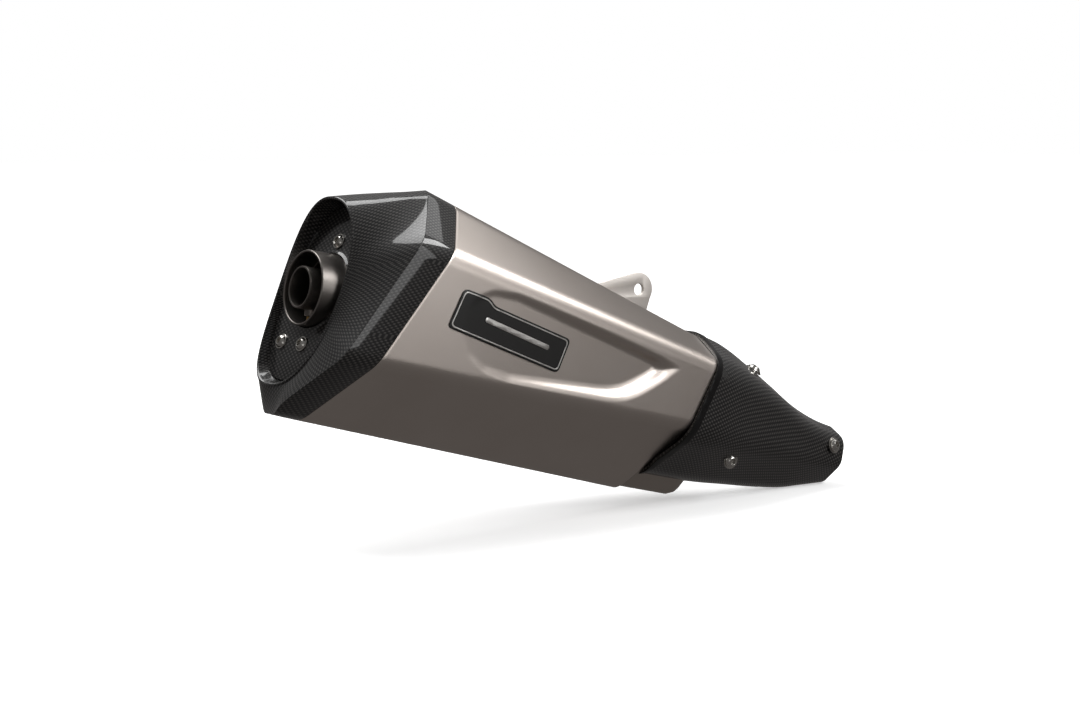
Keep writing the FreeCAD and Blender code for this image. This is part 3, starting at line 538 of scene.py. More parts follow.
@dataclass(frozen=True)
class CarbonCloth(Finish):
    """Woven carbon cloth under polished clear resin, with painted sheen: small grey dashes, staggered like
    bricks, on black.

    Args:
        tow: Width of a lengthwise tow in mm.
        pick: Width of a crosswise tow in mm.
        dark: Colour painted on a tow that runs away from the light, as its painted shade.
        light: Colour painted on a tow that catches the light, as its painted sheen.
        ground: Colour between tows, and painted shade where each rounded tow turns away at its edges.
        turn: Angle of the cloth on the piece, in degrees.
        rough: Roughness of the fibres under the resin.
        coat: Roughness of the resin.
    """

    tow: float = 1.55
    pick: float = 2.3
    dark: str = "#040404"
    light: str = "#4c4a48"
    ground: str = "#020202"
    turn: float = 0.0
    rough: float = 0.45
    coat: float = 0.05

    def paint(self, tree: bpy.types.NodeTree, shader: bpy.types.Node) -> None:
        """Weave from the piece's own UV map, which is in mm."""
        cloth = add_node(tree, "ShaderNodeUVMap", uv_map="cloth")
        laid = add_node(tree, "ShaderNodeMapping", {"Vector": cloth.outputs[0],
                                                    "Rotation": (0.0, 0.0, math.radians(self.turn))})
        axes = add_node(tree, "ShaderNodeSeparateXYZ", {"Vector": laid.outputs[0]})
        cells, domes = [], []
        for k, pitch in enumerate((self.tow, self.pick)):
            share = add_node(tree, "ShaderNodeMath", {0: axes.outputs[k], 1: pitch}, operation="DIVIDE")
            cell = add_node(tree, "ShaderNodeMath", {0: share.outputs[0]}, operation="FLOOR")
            part = add_node(tree, "ShaderNodeMath", {0: share.outputs[0]}, operation="FRACT")
            wave = add_node(tree, "ShaderNodeMath", {0: part.outputs[0], 1: math.pi}, operation="MULTIPLY")
            dome = add_node(tree, "ShaderNodeMath", {0: wave.outputs[0]}, operation="SINE")
            cells.append(cell.outputs[0])
            domes.append(dome.outputs[0])
        total = add_node(tree, "ShaderNodeMath", {0: cells[0], 1: cells[1]}, operation="ADD")
        over = add_node(tree, "ShaderNodeMath", {0: total.outputs[0], 1: 2.0}, operation="FLOORED_MODULO")
        both = add_node(tree, "ShaderNodeMath", {0: domes[0], 1: domes[1]}, operation="MULTIPLY")
        crown = add_node(tree, "ShaderNodeMath", {0: both.outputs[0], 1: 0.6}, operation="POWER")
        # Painted sheen: tows that lie one way get the light colour and the others the dark one.
        tone = add_node(tree, "ShaderNodeMix", {"Factor": over.outputs[0], 6: linear(self.dark),
                                                7: linear(self.light)}, data_type="RGBA")
        # Painted shade: each tow fades to the colour between tows towards its edges.
        body = add_node(tree, "ShaderNodeMix", {"Factor": crown.outputs[0], 6: linear(self.ground),
                                                7: tone.outputs[2]}, data_type="RGBA")
        bump = add_node(tree, "ShaderNodeBump", {"Height": crown.outputs[0], "Strength": 0.3,
                                                 "Distance": 0.2 * MM})
        shader.inputs["Metallic"].default_value = 0.0
        shader.inputs["Roughness"].default_value = self.rough
        shader.inputs["Specular IOR Level"].default_value = 0.2
        shader.inputs["Coat Weight"].default_value = 1.0
        shader.inputs["Coat Roughness"].default_value = self.coat
        shader.inputs["Coat IOR"].default_value = 1.5
        tree.links.new(body.outputs[2], shader.inputs["Base Color"])
        tree.links.new(bump.outputs[0], shader.inputs["Normal"])


@dataclass(frozen=True)
class GlossResin(Finish):
    """Black resin or lacquer, poured or sprayed: deep black with faint ripple.

    Args:
        colour: Colour.
        rough: Roughness.
        ripple: Strength of the ripple.
    """

    colour: str = "#070707"
    rough: float = 0.16
    ripple: float = 0.05

    def paint(self, tree: bpy.types.NodeTree, shader: bpy.types.Node) -> None:
        """Gloss black with a faint ripple."""
        place = add_node(tree, "ShaderNodeTexCoord").outputs["Object"]
        wave = add_node(tree, "ShaderNodeTexNoise", {"Vector": place, "Scale": 250.0, "Detail": 2.0})
        bump = add_node(tree, "ShaderNodeBump", {"Height": wave.outputs["Fac"], "Strength": self.ripple,
                                                 "Distance": 0.2 * MM})
        spread = add_node(tree, "ShaderNodeMapRange", {"Value": wave.outputs["Fac"], 3: self.rough,
                                                       4: self.rough + 0.06})
        shader.inputs["Base Color"].default_value = linear(self.colour)
        tree.links.new(spread.outputs[0], shader.inputs["Roughness"])
        tree.links.new(bump.outputs[0], shader.inputs["Normal"])


@dataclass(frozen=True)
class Wool(Finish):
    """Matted wool of steel or glass fibre: tangled strands, matt or faintly metallic.

    Args:
        colour: Colour of a strand.
        shade: Colour between strands.
        metal: How metallic it is.
        strand: Strand spacing in mm.
    """

    colour: str = "#d9d2b8"
    shade: str = "#8f8a74"
    metal: float = 0.0
    strand: float = 1.2

    def paint(self, tree: bpy.types.NodeTree, shader: bpy.types.Node) -> None:
        """Tangled strands."""
        place = add_node(tree, "ShaderNodeTexCoord").outputs["Object"]
        bend = add_node(tree, "ShaderNodeTexNoise", {"Vector": place, "Scale": 1.0 / (self.strand * MM),
                                                     "Detail": 5.0, "Distortion": 2.5})
        tint = add_node(tree, "ShaderNodeMix", {"Factor": bend.outputs["Fac"], 6: linear(self.shade),
                                                7: linear(self.colour)}, data_type="RGBA")
        bump = add_node(tree, "ShaderNodeBump", {"Height": bend.outputs["Fac"], "Strength": 0.8,
                                                 "Distance": 0.8 * MM})
        shader.inputs["Metallic"].default_value = self.metal
        shader.inputs["Roughness"].default_value = 0.8
        tree.links.new(tint.outputs[2], shader.inputs["Base Color"])
        tree.links.new(bump.outputs[0], shader.inputs["Normal"])


TITANIUM = BlastedMetal("blasted_titanium")
NOSE_TITANIUM = BlastedMetal("blasted_titanium_nose", colour="#bfb6ae", stain="#b0a79f", rough=0.4)
# Painted light: a paler copy of the blasted titanium for the hanger plate and pad, so that they look more
# brightly lit.
BRIGHTENED_TITANIUM = BlastedMetal("blasted_titanium_bracket", colour="#ece7e2", stain="#ddd7d1", rough=0.6)
CARBON = CarbonCloth("woven_carbon_gloss")
SHIELD_CARBON = CarbonCloth("woven_carbon_shield", turn=90.0)
PANEL_CARBON = CarbonCloth("woven_carbon_panel", turn=90.0, coat=0.08)
LIP_RESIN = GlossResin("gloss_resin_lip")
BADGE_BLACK = GlossResin("black_anodised_badge", colour="#141312", rough=0.34, ripple=0.1)
BADGE_SILVER = BrushedMetal("brushed_silver_badge", colour="#dcdad6", rough=0.3, pitch=0.25,
                            along=(0.1, 1.0, 1.0))
OUTLET_BLACK = BrushedMetal("dark_coated_outlet", colour="#827d79", rough=0.36, pitch=0.35)
DAMPER_BLACK = BrushedMetal("dark_coated_damper", colour="#76716d", rough=0.38, pitch=0.35)
STAINLESS = BrushedMetal("stainless_button_head", colour="#c4c1bc", rough=0.2, pitch=0.2,
                         along=(1.0, 1.0, 1.0))
BRASS = BrushedMetal("zinc_brass_screw", colour="#b79a5c", rough=0.28, pitch=0.2, along=(1.0, 1.0, 1.0))
PIPE_STEEL = BrushedMetal("drawn_stainless_pipe", colour="#a9a39b", rough=0.3, pitch=0.4)
INNER_STEEL = BrushedMetal("perforated_stainless", colour="#8f8a84", rough=0.4, pitch=0.4)
STEEL_WOOL = Wool("steel_wool", colour="#a8a6a2", shade="#4a4946", metal=0.7, strand=0.9)
GLASS_WOOL = Wool("glass_wool")


# ---------------------------------------------------------------------------
# Section of the sleeve
# ---------------------------------------------------------------------------
@dataclass(frozen=True)
class Corner:
    """One long corner of the sleeve, straight from a rear station to a front one.

    Args:
        rear: Station, half width and height at the rear, mm.
        front: Station, half width and height at the front, mm.
        radius: Rounding of the corner, mm.
    """

    rear: tuple[float, float, float]
    front: tuple[float, float, float]
    radius: float

    def at(self, x: float) -> Point:
        """Half width and height at a station."""
        share = (x - self.rear[0]) / (self.front[0] - self.rear[0])
        return (blend_number(self.rear[1], self.front[1], share),
                blend_number(self.rear[2], self.front[2], share))


@dataclass(frozen=True)
class Cut:
    """Slanted plane across the muffler: station at the axis and how it leans with height and width."""

    x: float
    per_z: float = 0.0
    per_y: float = 0.0

    def at(self, y: float, z: float) -> float:
        """Station of the plane at a place."""
        return self.x + self.per_z * z + self.per_y * y

    def point(self) -> Vector:
        """Point where the axis meets the plane."""
        return Vector((self.x, 0.0, 0.0))

    def normal(self) -> Vector:
        """Direction across the plane, towards the engine."""
        return Vector((1.0, -self.per_y, -self.per_z)).normalized()


CORNERS = (Corner((94.0, 19.0, 72.5), (318.0, 14.0, 17.0), 22.0),
           Corner((75.0, 57.0, 38.0), (312.0, 56.0, -2.0), 18.0),
           Corner((33.0, 57.0, -42.0), (295.0, 55.0, -51.0), 15.0),
           Corner((7.0, 14.0, -86.0), (300.0, 8.0, -104.0), 12.0))
REAR_SEAM = Cut(54.65, 0.56)
FRONT_SEAM = Cut(313.9, 0.35)
SEAM_GAP = 0.35
SLEEVE_WALL = 1.2


@dataclass
class WedgeBlank:
    """Eight-sided blank that the sleeve and the end cap are both cut from."""

    rear: float = -60.0
    front: float = 380.0
    corner_steps: int = 8
    strip: float = 5.0
    near_strip: float = 5.0
    longest_round: float = 8.2
    order_hub: float = -20.0

    def outline(self, x: float) -> list[Point]:
        """Corners (y, z) at a station, going round once."""
        half = [corner.at(x) for corner in CORNERS]
        return [(-w, z) for w, z in half] + [(w, z) for w, z in reversed(half)]

    def reach(self, index: int) -> float:
        """How far a corner's rounding runs along its two sides."""
        line = self.outline((self.rear + self.front) / 2)
        y, z = line[index]
        before = Vector((line[index - 1][0] - y, line[index - 1][1] - z))
        after = Vector((line[(index + 1) % 8][0] - y, line[(index + 1) % 8][1] - z))
        radius = CORNERS[index if index < 4 else 7 - index].radius
        return radius / math.tan(before.angle(after) / 2)

    def build(self, name: str) -> Workpiece:
        """Place the eight corners, round the long edges and divide the flats into strips.

        Args:
            name: Name of the piece.

        Returns:
            The blank, open at both ends.
        """
        piece = Workpiece.tube(name, 8, 60.0, self.front - self.rear, self.rear)
        middle = (self.rear + self.front) / 2
        ends = {True: self.outline(self.rear), False: self.outline(self.front)}
        for at_rear, line in ends.items():
            ring = [v for v in piece.mesh().verts if (v.co.x / MM < middle) == at_rear]
            ring.sort(key=lambda v: (math.atan2(v.co.z, v.co.y) + ORDER_START) % math.tau)
            line = sorted(line, key=lambda p: (math.atan2(p[1] - self.order_hub, p[0]) + ORDER_START)
                          % math.tau)
            for v, (y, z) in zip(ring, line):
                v.co = Vector((v.co.x, y * MM, z * MM))
        bmesh.update_edit_mesh(piece.obj.data)
        line = self.outline(middle)
        for index in range(8):
            y, z = line[index]
            target = Vector((middle, y, z))
            piece.take(Part.EDGE, lambda e: not e.is_boundary and (edge_middle(e) - target).length < 1.0)
            bpy.ops.mesh.bevel(offset_type="OFFSET", offset=self.reach(index) * MM,
                               segments=self.corner_steps, profile=0.5, clamp_overlap=False)
        for _ in range(8):
            shape = piece.mesh()
            long = [f for f in shape.faces
                    if max(e.calc_length() for e in f.edges if e.is_boundary) > self.longest_round * MM]
            if not long:
                break
            face = long[0]
            edges = [e for e in face.edges if e.is_boundary]
            width = max(e.calc_length() for e in edges) / MM
            face.normal_update()
            step = self.near_strip if face.normal.y < -0.9 else self.strip
            keys = {e.index for e in edges}
            piece.take(Part.EDGE, lambda e: e.index in keys)
            bpy.ops.mesh.subdivide(number_cuts=max(int(width / step), 2))
        piece.clear()
        return piece


OPENING_CENTRE = (4.0, -4.0)


def rim_angle(point: Vector) -> float:
    """Angle of a point about the end cap's opening."""
    return math.atan2(point.z - OPENING_CENTRE[1], point.y - OPENING_CENTRE[0])


# ---------------------------------------------------------------------------
# Sleeve
# ---------------------------------------------------------------------------
@dataclass
class PressedWedge:
    """Wedge pressed into the sleeve's outer side: outlines (x, z), and a floor that deepens forwards."""

    edge: tuple[Point, ...] = (
        (92.0, 27.0), (200.0, 7.5), (268.0, -6.5), (281.0, -10.5), (272.0, -17.0),
        (257.0, -28.0), (244.0, -36.5), (230.0, -41.5), (206.0, -42.0), (92.0, -39.0))
    floor: tuple[Point, ...] = (
        (92.0, 23.0), (200.0, 0.5), (250.0, -10.0), (259.0, -12.5), (254.0, -16.5),
        (241.0, -24.0), (231.0, -28.5), (219.0, -31.5), (203.0, -32.0), (92.0, -36.0))
    depth: float = 6.0
    rear_x: float = 92.0
    front_x: float = 262.0
    rounds: int = 2
    lines: dict[str, list[Point]] = field(default_factory=dict)

    def __post_init__(self) -> None:
        """Round both outlines once."""
        self.lines = {"edge": soften_outline(self.edge, self.rounds),
                      "floor": soften_outline(self.floor, self.rounds)}

    def at(self, x: float, z: float) -> float:
        """Depth of the pressing at a place, in mm."""
        outer = outline_distance(self.lines["edge"], x, z)
        if outer <= 0.0 or x < self.rear_x:
            return 0.0
        full = self.depth * (x - self.rear_x) / (self.front_x - self.rear_x)
        inner = max(-outline_distance(self.lines["floor"], x, z), 0.0)
        return full * ease(outer / (outer + inner))


@dataclass
class Sleeve:
    """Titanium sleeve with its pressed wedge and its softened hems."""

    stations: int = 118
    side_strip: float = 2.2
    hem: float = 0.4
    side_y: float = -50.0
    press: PressedWedge = field(default_factory=PressedWedge)

    def build(self) -> None:
        """Cut the blank at both seams, press the wedge and give the skin its wall."""
        piece = WedgeBlank(near_strip=self.side_strip).build("sleeve_skin")
        piece.slice(REAR_SEAM.point(), REAR_SEAM.normal(), drop_back=True)
        piece.slice(FRONT_SEAM.point(), FRONT_SEAM.normal(), drop_front=True)
        for k in range(1, self.stations):
            share = k / self.stations
            cut = Cut(blend_number(REAR_SEAM.x, FRONT_SEAM.x, share),
                      blend_number(REAR_SEAM.per_z, FRONT_SEAM.per_z, share))
            piece.slice(cut.point(), cut.normal())
        piece.take(Part.POINT, lambda v: v.co.y < self.side_y * MM)
        piece.place(lambda p: p + Vector((0.0, self.press.at(p.x, p.z), 0.0)))
        piece.face_outwards()
        piece.thicken(SLEEVE_WALL)
        piece.round_edges(self.hem, 50.0)
        piece.dress(Body.MUFFLER, TITANIUM, "titanium", ["outer_sleeve"], can_to_row())


# ---------------------------------------------------------------------------
# End cap
# ---------------------------------------------------------------------------
@dataclass
class Opening:
    """Opening of the end cap: a squared-off ellipse, a little fuller on one side."""

    centre: Point = OPENING_CENTRE
    half_width: float = 33.2
    half_height: float = 62.5
    square: float = 2.45
    lean: float = 0.04
    lean_at: float = math.radians(50.0)

    def point(self, angle: float, grow: float) -> Point:
        """Edge point (y, z) at an angle, grown outwards."""
        across = abs(math.cos(angle) / self.half_width) ** self.square
        up = abs(math.sin(angle) / self.half_height) ** self.square
        reach = (across + up) ** (-1.0 / self.square)
        reach = reach * (1.0 + self.lean * math.cos(angle - self.lean_at)) + grow
        return (self.centre[0] + reach * math.cos(angle), self.centre[1] + reach * math.sin(angle))


RIM_FACE = Cut(15.65, -0.02, -0.09)
RIM_BOW = -0.0015
RIM_BOW_BELOW = 70.0
PANEL_FACE = Cut(14.0, 0.25, -0.09)
PANEL_THICKNESS = 2.0
CREASE = Cut(27.65, 0.56)
CREASE_TURNED = Cut(33.25, 0.56, 0.28)


def rim_station(y: float, z: float) -> float:
    """Station of the cap's rim at a place; it bows rearwards low down."""
    return RIM_FACE.at(y, z) + RIM_BOW * min(z - RIM_BOW_BELOW, 0.0) ** 2


@dataclass
class EndCap:
    """Carbon end cap: side band, crease, slanted facets, thin rim and turned-in opening."""

    wall: float = 2.2
    draft: float = 3.0
    bulge: float = 0.9
    chin: float = -68.0
    chin_bow: float = 0.016
    facet_steps: tuple[float, ...] = (0.015, 0.06, 0.2, 0.4, 0.6, 0.8, 0.94, 0.985)
    rim_steps: int = 6
    wall_steps: tuple[float, ...] = (0.15, 0.5, 0.85)
    seam_reach: float = 2.0
    opening: Opening = field(default_factory=Opening)

    def rows(self, seam: list[Vector], crease: list[Vector]) -> list[list[Vector]]:
        """Rings of points from the crease over the rim and back inside to the seam.

        Args:
            seam: Ring at the seam.
            crease: Ring at the crease, in the same order.

        Returns:
            The rings, each in that order.
        """
        angles = [rim_angle(p) for p in crease]

        def around(station: Callable[[float, float], float], grow: float, forward: float) -> list[Vector]:
            """Ring along the opening's grown edge, at a station rule moved forwards."""
            edge = [self.opening.point(angle, grow) for angle in angles]
            return [Vector((station(y, z) + forward, y, z)) for y, z in edge]

        lip = self.wall / 2.0
        outer = around(rim_station, self.wall, lip)
        rings = []
        for t in self.facet_steps:
            swell = self.bulge * math.sin(math.pi * t)
            ring = []
            for a, b, angle in zip(crease, outer, angles):
                out = Vector((-0.6, math.cos(angle) * 0.8, math.sin(angle) * 0.8))
                ring.append(a.lerp(b, t) + out * swell)
            rings.append(ring)
        for k in range(self.rim_steps + 1):
            turn = math.pi * k / self.rim_steps
            rings.append(around(rim_station, lip + lip * math.cos(turn), lip - lip * math.sin(turn)))
        depth = PANEL_THICKNESS + 1.0
        floor = around(PANEL_FACE.at, -self.draft, depth)
        last = rings[-1]
        for t in self.wall_steps:
            rings.append([a.lerp(b, t) for a, b in zip(last, floor)])
        rings.append(floor)
        rings.append(around(PANEL_FACE.at, self.wall - self.draft, depth))
        rings.append(around(rim_station, self.wall * 0.9, self.wall * 1.5))
        hub = Vector((0.0, self.opening.centre[0], self.opening.centre[1]))
        for ring, back in ((crease, 1.4), (seam, 0.0)):
            inner = []
            for p in ring:
                out = Vector((0.0, p.y, p.z)) - hub
                inner.append(p - out.normalized() * self.wall * 1.1 + Vector((back, 0.0, 0.0)))
            rings.append(inner)
        return rings

    def build(self) -> None:
        """Cut the band from the blank, then draw the rim in ring by ring."""
        piece = WedgeBlank(strip=4.0, near_strip=3.5).build("end_cap_shell")
        edge = Cut(REAR_SEAM.x - SEAM_GAP, REAR_SEAM.per_z)
        piece.slice(edge.point(), edge.normal(), drop_front=True)
        piece.slice(CREASE.point(), CREASE.normal(), drop_back=True)
        piece.slice(CREASE_TURNED.point(), CREASE_TURNED.normal(), drop_back=True)
        piece.face_outwards()
        piece.take_rim(lambda p: p.x > edge.at(p.y, p.z) - self.seam_reach)
        seam = [v.co / MM for v in piece.picked_round()]
        piece.take_rim(lambda p: p.x < edge.at(p.y, p.z) - self.seam_reach)
        self.round_chin(piece)
        crease = [v.co / MM for v in piece.picked_round()]
        LOG.info("cap rings: %d at the seam, %d at the crease", len(seam), len(crease))
        seam = self.matched(seam, crease)
        rings = self.rows(seam, crease)
        for ring in rings:
            piece.grow()
            for v, target in zip(piece.picked_round(), ring):
                v.co = target * MM
            bmesh.update_edit_mesh(piece.obj.data)
        shape = piece.mesh()
        for e in shape.edges:
            e.select_set(e.is_boundary)
        bmesh.update_edit_mesh(piece.obj.data)
        bpy.ops.mesh.bridge_edge_loops()
        piece.face_outwards()
        self.lay_cloth(piece, [seam, crease] + rings)
        piece.round_edges(0.8, 12.0, 3)
        piece.dress(Body.MUFFLER, CARBON, "carbon", ["end_cap"], can_to_row(), 60.0)

    def round_chin(self, piece: Workpiece) -> None:
        """Bend the selected crease forwards at its lowest corner."""
        piece.place(lambda p: p + Vector((self.chin_bow * min(p.z - self.chin, 0.0) ** 2, 0.0, 0.0)))

    @staticmethod
    def matched(seam: list[Vector], crease: list[Vector]) -> list[Vector]:
        """Seam ring with as many points as the crease, each across from its own."""
        if len(seam) == len(crease):
            return seam
        return [min(seam, key=lambda s: abs(rim_angle(s) - rim_angle(p))) for p in crease]

    @staticmethod
    def lay_cloth(piece: Workpiece, rings: list[list[Vector]]) -> None:
        """Lay the cloth from the middle of the outer side, by true length along it and round its crease.

        Args:
            piece: The cap.
            rings: Its rings of points, in mm.
        """
        crease = rings[1]
        start = min(range(len(crease)), key=lambda i: abs(abs(rim_angle(crease[i])) - math.pi))
        count = len(crease)
        half = count // 2
        across = {start: 0.0}
        for way, steps in ((1, half + 1), (-1, count - half)):
            for k in range(1, steps):
                here, last = (start + way * k) % count, (start + way * (k - 1)) % count
                across[here] = across[last] + way * (crease[here] - crease[last]).length
        spots: dict[tuple[int, ...], Point] = {}
        along = [0.0] * count
        before = rings[0]
        for ring in rings:
            along = [length + (a - b).length for length, a, b in zip(along, before, ring)]
            before = ring
            for i, p in enumerate(ring):
                spots[point_key(p)] = (across[i], along[i])

        def spread(face: bmesh.types.BMFace) -> list[Point]:
            """Places of a face's corners, nearest ring points where the bevel moved them."""
            found = []
            for loop in face.loops:
                key = point_key(loop.vert.co / MM)
                if key not in spots:
                    key = min(spots, key=lambda s: sum((a - b) ** 2 for a, b in zip(s, key)))
                found.append(spots[key])
            widest = max(u for u, _ in found)
            return [(widest if widest - u > CLOTH_JUMP else u, v) for u, v in found]

        piece.lay_uv(spread)


@dataclass
class CapPanel:
    """Recessed carbon panel with a rolled lip round the outlet tube."""

    sides: int = 96
    hole: float = 26.0
    margin: float = 3.1
    lip: float = 1.2
    steps: tuple[Point, ...] = ((0.4, 0.0), (0.75, 0.0), (0.93, 0.0), (0.97, 0.35), (1.0, 1.0))
    opening: Opening = field(default_factory=Opening)

    def build(self) -> None:
        """Shape the outline from a circle and draw it in to the tube."""
        piece = Workpiece.ring("cap_panel", self.sides, 50.0)
        piece.take_rim()
        piece.place(lambda p: self.spot(*self.opening.point(math.atan2(p.z, p.y), -self.margin), 0.0))
        for share, lift in self.steps:
            piece.grow()
            for v in piece.picked_round():
                angle = rim_angle(v.co / MM)
                y, z = self.opening.point(angle, -self.margin)
                inner_y, inner_z = math.cos(angle) * self.hole, math.sin(angle) * self.hole
                y, z = blend_number(y, inner_y, share), blend_number(z, inner_z, share)
                v.co = self.spot(y, z, lift * self.lip) * MM
            bmesh.update_edit_mesh(piece.obj.data)
        piece.face_outwards()
        self.turn_rearwards(piece)
        piece.lay_uv(lambda face: [(loop.vert.co.y / MM, loop.vert.co.z / MM) for loop in face.loops])
        piece.thicken(PANEL_THICKNESS)
        piece.round_edges(0.3)
        piece.dress(Body.MUFFLER, PANEL_CARBON, "carbon_panel", ["end_cap_panel"], can_to_row())

    @staticmethod
    def spot(y: float, z: float, lift: float) -> Vector:
        """Point on the panel's face, lifted rearwards."""
        return Vector((PANEL_FACE.at(y, z) - lift, y, z))

    @staticmethod
    def turn_rearwards(piece: Workpiece) -> None:
        """Make the panel's faces look rearwards."""
        shape = piece.mesh()
        if sum(f.normal.x for f in shape.faces) > 0:
            bpy.ops.mesh.select_all(action="SELECT")
            bpy.ops.mesh.flip_normals()
            piece.clear()


# ---------------------------------------------------------------------------
# Fasteners
# ---------------------------------------------------------------------------
def hexagon_point(p: Vector, across: float, x: float) -> Vector:
    """Point of a hexagon socket at the same angle about X, at a station."""
    angle = math.atan2(p.z, p.y)
    side = math.radians(60.0)
    reach = across / 2 / math.cos((angle % side) - side / 2)
    return Vector((x, math.cos(angle) * reach, math.sin(angle) * reach))


def sink_socket(piece: Workpiece, across: float, stations: tuple[float, float, float], tip: float) -> None:
    """Sink a hexagon socket from the selected rim and close both ends of the screw.

    Args:
        piece: Screw, open at both ends.
        across: Width of the hexagon across its flats, mm.
        stations: Stations of the socket's mouth, floor and drill point, mm.
        tip: Share of the floor's width left at the drill point.
    """
    mouth, floor, point = stations
    for station in (mouth, floor):
        piece.grow()
        piece.place(lambda p: hexagon_point(p, across, station))
    piece.step(point, 1.0, tip)
    bpy.ops.mesh.merge(type="CENTER")
    piece.take_rim()
    bpy.ops.mesh.fill()
    piece.face_outwards()


@dataclass
class ButtonScrew:
    """Flanged button-head screw with a hexagon socket, drawn along +X from its seat."""

    head: float = 4.4
    height: float = 2.8
    flange: float = 5.3
    flange_height: float = 0.9
    across: float = 4.0
    depth: float = 2.0
    shank: float = 3.0
    length: float = 11.0
    sides: int = 48
    dome_steps: int = 6

    def build(self, name: str) -> Workpiece:
        """Turn the head from a circle and sink the socket.

        Args:
            name: Name of the piece.

        Returns:
            The screw.
        """
        ball = (self.head ** 2 + self.height ** 2) / (2.0 * self.height)
        rim = self.across / 2 + 0.75
        profile = [(-self.length, self.shank - 0.6), (-self.length + 0.6, self.shank), (0.0, self.shank),
                   (0.0, self.flange - 0.15), (0.15, self.flange), (self.flange_height - 0.2, self.flange),
                   (self.flange_height, self.flange - 0.2), (self.flange_height, self.head)]
        for k in range(1, self.dome_steps + 1):
            radius = blend_number(self.head, rim, k / self.dome_steps)
            drop = math.sqrt(ball ** 2 - radius ** 2) - (ball - self.height)
            profile.append((self.flange_height + drop, radius))
        piece = Workpiece.turned(name, self.sides, profile)
        top = profile[-1][0]
        sink_socket(piece, self.across, (top - 0.15, top - self.depth, top - self.depth - 0.6), 0.3)
        return piece


@dataclass
class ShieldScrews:
    """Three button-head screws and their washers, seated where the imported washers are."""

    aims: tuple[tuple[float, float, float], ...] = (
        (0.0, -1.0, -0.12), (0.25, -0.42, 0.9), (0.15, -1.0, 0.25))
    washer: float = 6.2
    washer_wall: float = 0.8
    washer_edge: float = 0.15
    bore: float = 3.2
    apart: float = 14.0
    screw_lift: float = 0.5
    washer_drop: float = 0.4

    def seats(self) -> list[Vector]:
        """Middle of each packed washer, in metres in the row frame."""
        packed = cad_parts["shield_washers"].data.vertices
        groups: list[list[Vector]] = []
        for v in packed:
            for group in groups:
                if (group[0] - v.co).length < self.apart * MM:
                    group.append(v.co.copy())
                    break
            else:
                groups.append([v.co.copy()])
        middles = [sum(g, Vector()) / len(g) for g in groups]
        LOG.info("shield washers: %d", len(middles))
        return middles

    def build(self) -> None:
        """Model one screw and one washer and seat their copies."""
        pattern = ButtonScrew(length=8.2).build("shield_screw_pattern")
        ring = self.build_washer()
        turn = can_to_row().to_3x3()
        outs = [(turn @ Vector(aim)).normalized() for aim in self.aims]
        for number, seat in enumerate(self.seats(), 1):
            out = outs[self.nearest_aim(seat)]
            for kind, source, lift in (("screw", pattern, self.screw_lift),
                                       ("washer", ring, -self.washer_drop)):
                place = aim_matrix(seat / MM + out * lift, out)
                source.repeat(f"shield_{kind}_{number}", place).dress(
                    Body.MUFFLER, STAINLESS, "screw_steel", [f"shield_{kind}s"], None, 30.0)
        Workpiece.free_hands()
        bpy.data.objects.remove(pattern.obj)
        bpy.data.objects.remove(ring.obj)

    @staticmethod
    def nearest_aim(seat: Vector) -> int:
        """Which screw a washer belongs to: front, top or lower."""
        if seat.x > -0.05:
            return 2
        return 1 if seat.z > 0.04 else 0

    def build_washer(self) -> Workpiece:
        """Turn a washer with broken edges."""
        wall, edge = self.washer_wall, self.washer_edge
        piece = Workpiece.turned("shield_washer_pattern", 48, [
            (0.0, self.bore), (wall, self.bore), (wall, self.washer - edge),
            (wall - edge, self.washer), (edge, self.washer), (0.0, self.washer - edge)])
        piece.join_rims()
        return piece


@dataclass
class CapScrews:
    """Three button-head screws on the recessed panel."""

    spots: tuple[Point, ...] = ((20.5, -37.0), (-2.5, -36.5), (0.7, 34.0))

    def build(self) -> None:
        """Model one screw and seat its copies."""
        pattern = ButtonScrew().build("panel_screw_pattern")
        out = -PANEL_FACE.normal()
        for number, (y, z) in enumerate(self.spots, 1):
            seat = Vector((PANEL_FACE.at(y, z), y, z)) + out * 0.1
            screw = pattern.repeat(f"panel_screw_{number}", can_to_row() @ aim_matrix(seat, out))
            screw.dress(Body.MUFFLER, STAINLESS, "screw_steel", ["end_cap_screws"], None, 30.0)
        Workpiece.free_hands()
        bpy.data.objects.remove(pattern.obj)


# ---------------------------------------------------------------------------
# Outlet and damper
# ---------------------------------------------------------------------------
@dataclass
class Outlet:
    """Dark coated outlet tube that bends down towards the core."""

    radius: float = 25.0
    wall: float = 1.5
    straight: float = 50.0
    bend: float = 200.0
    tilt: float = math.radians(9.0)
    sides: int = 96

    def build(self) -> None:
        """Turn the rim, run the tube forwards and spin it round its bend."""
        inner = self.radius - self.wall
        piece = Workpiece.turned("outlet_pipe", self.sides, [
            (self.straight, inner), (1.0, inner), (0.3, inner + 0.12), (0.0, inner + 0.45),
            (0.0, self.radius - 0.5), (0.25, self.radius - 0.12), (0.8, self.radius),
            (self.straight, self.radius)])
        self.spin_rim(piece, inner + self.wall / 2)
        piece.join_rims()
        piece.dress(Body.MUFFLER, OUTLET_BLACK, "dark_steel", ["outlet_tube"], can_to_row(), 50.0)

    def spin_rim(self, piece: Workpiece, between: float) -> None:
        """Spin both rims, inside and outside a middle radius, round the bend."""
        for outside in (True, False):
            piece.take_rim(lambda p: p.x > self.straight - 0.1
                           and (math.hypot(p.y, p.z) > between) == outside)
            bpy.ops.mesh.spin(steps=6, angle=self.tilt, center=(self.straight * MM, 0.0, -self.bend * MM),
                              axis=(0.0, 1.0, 0.0))


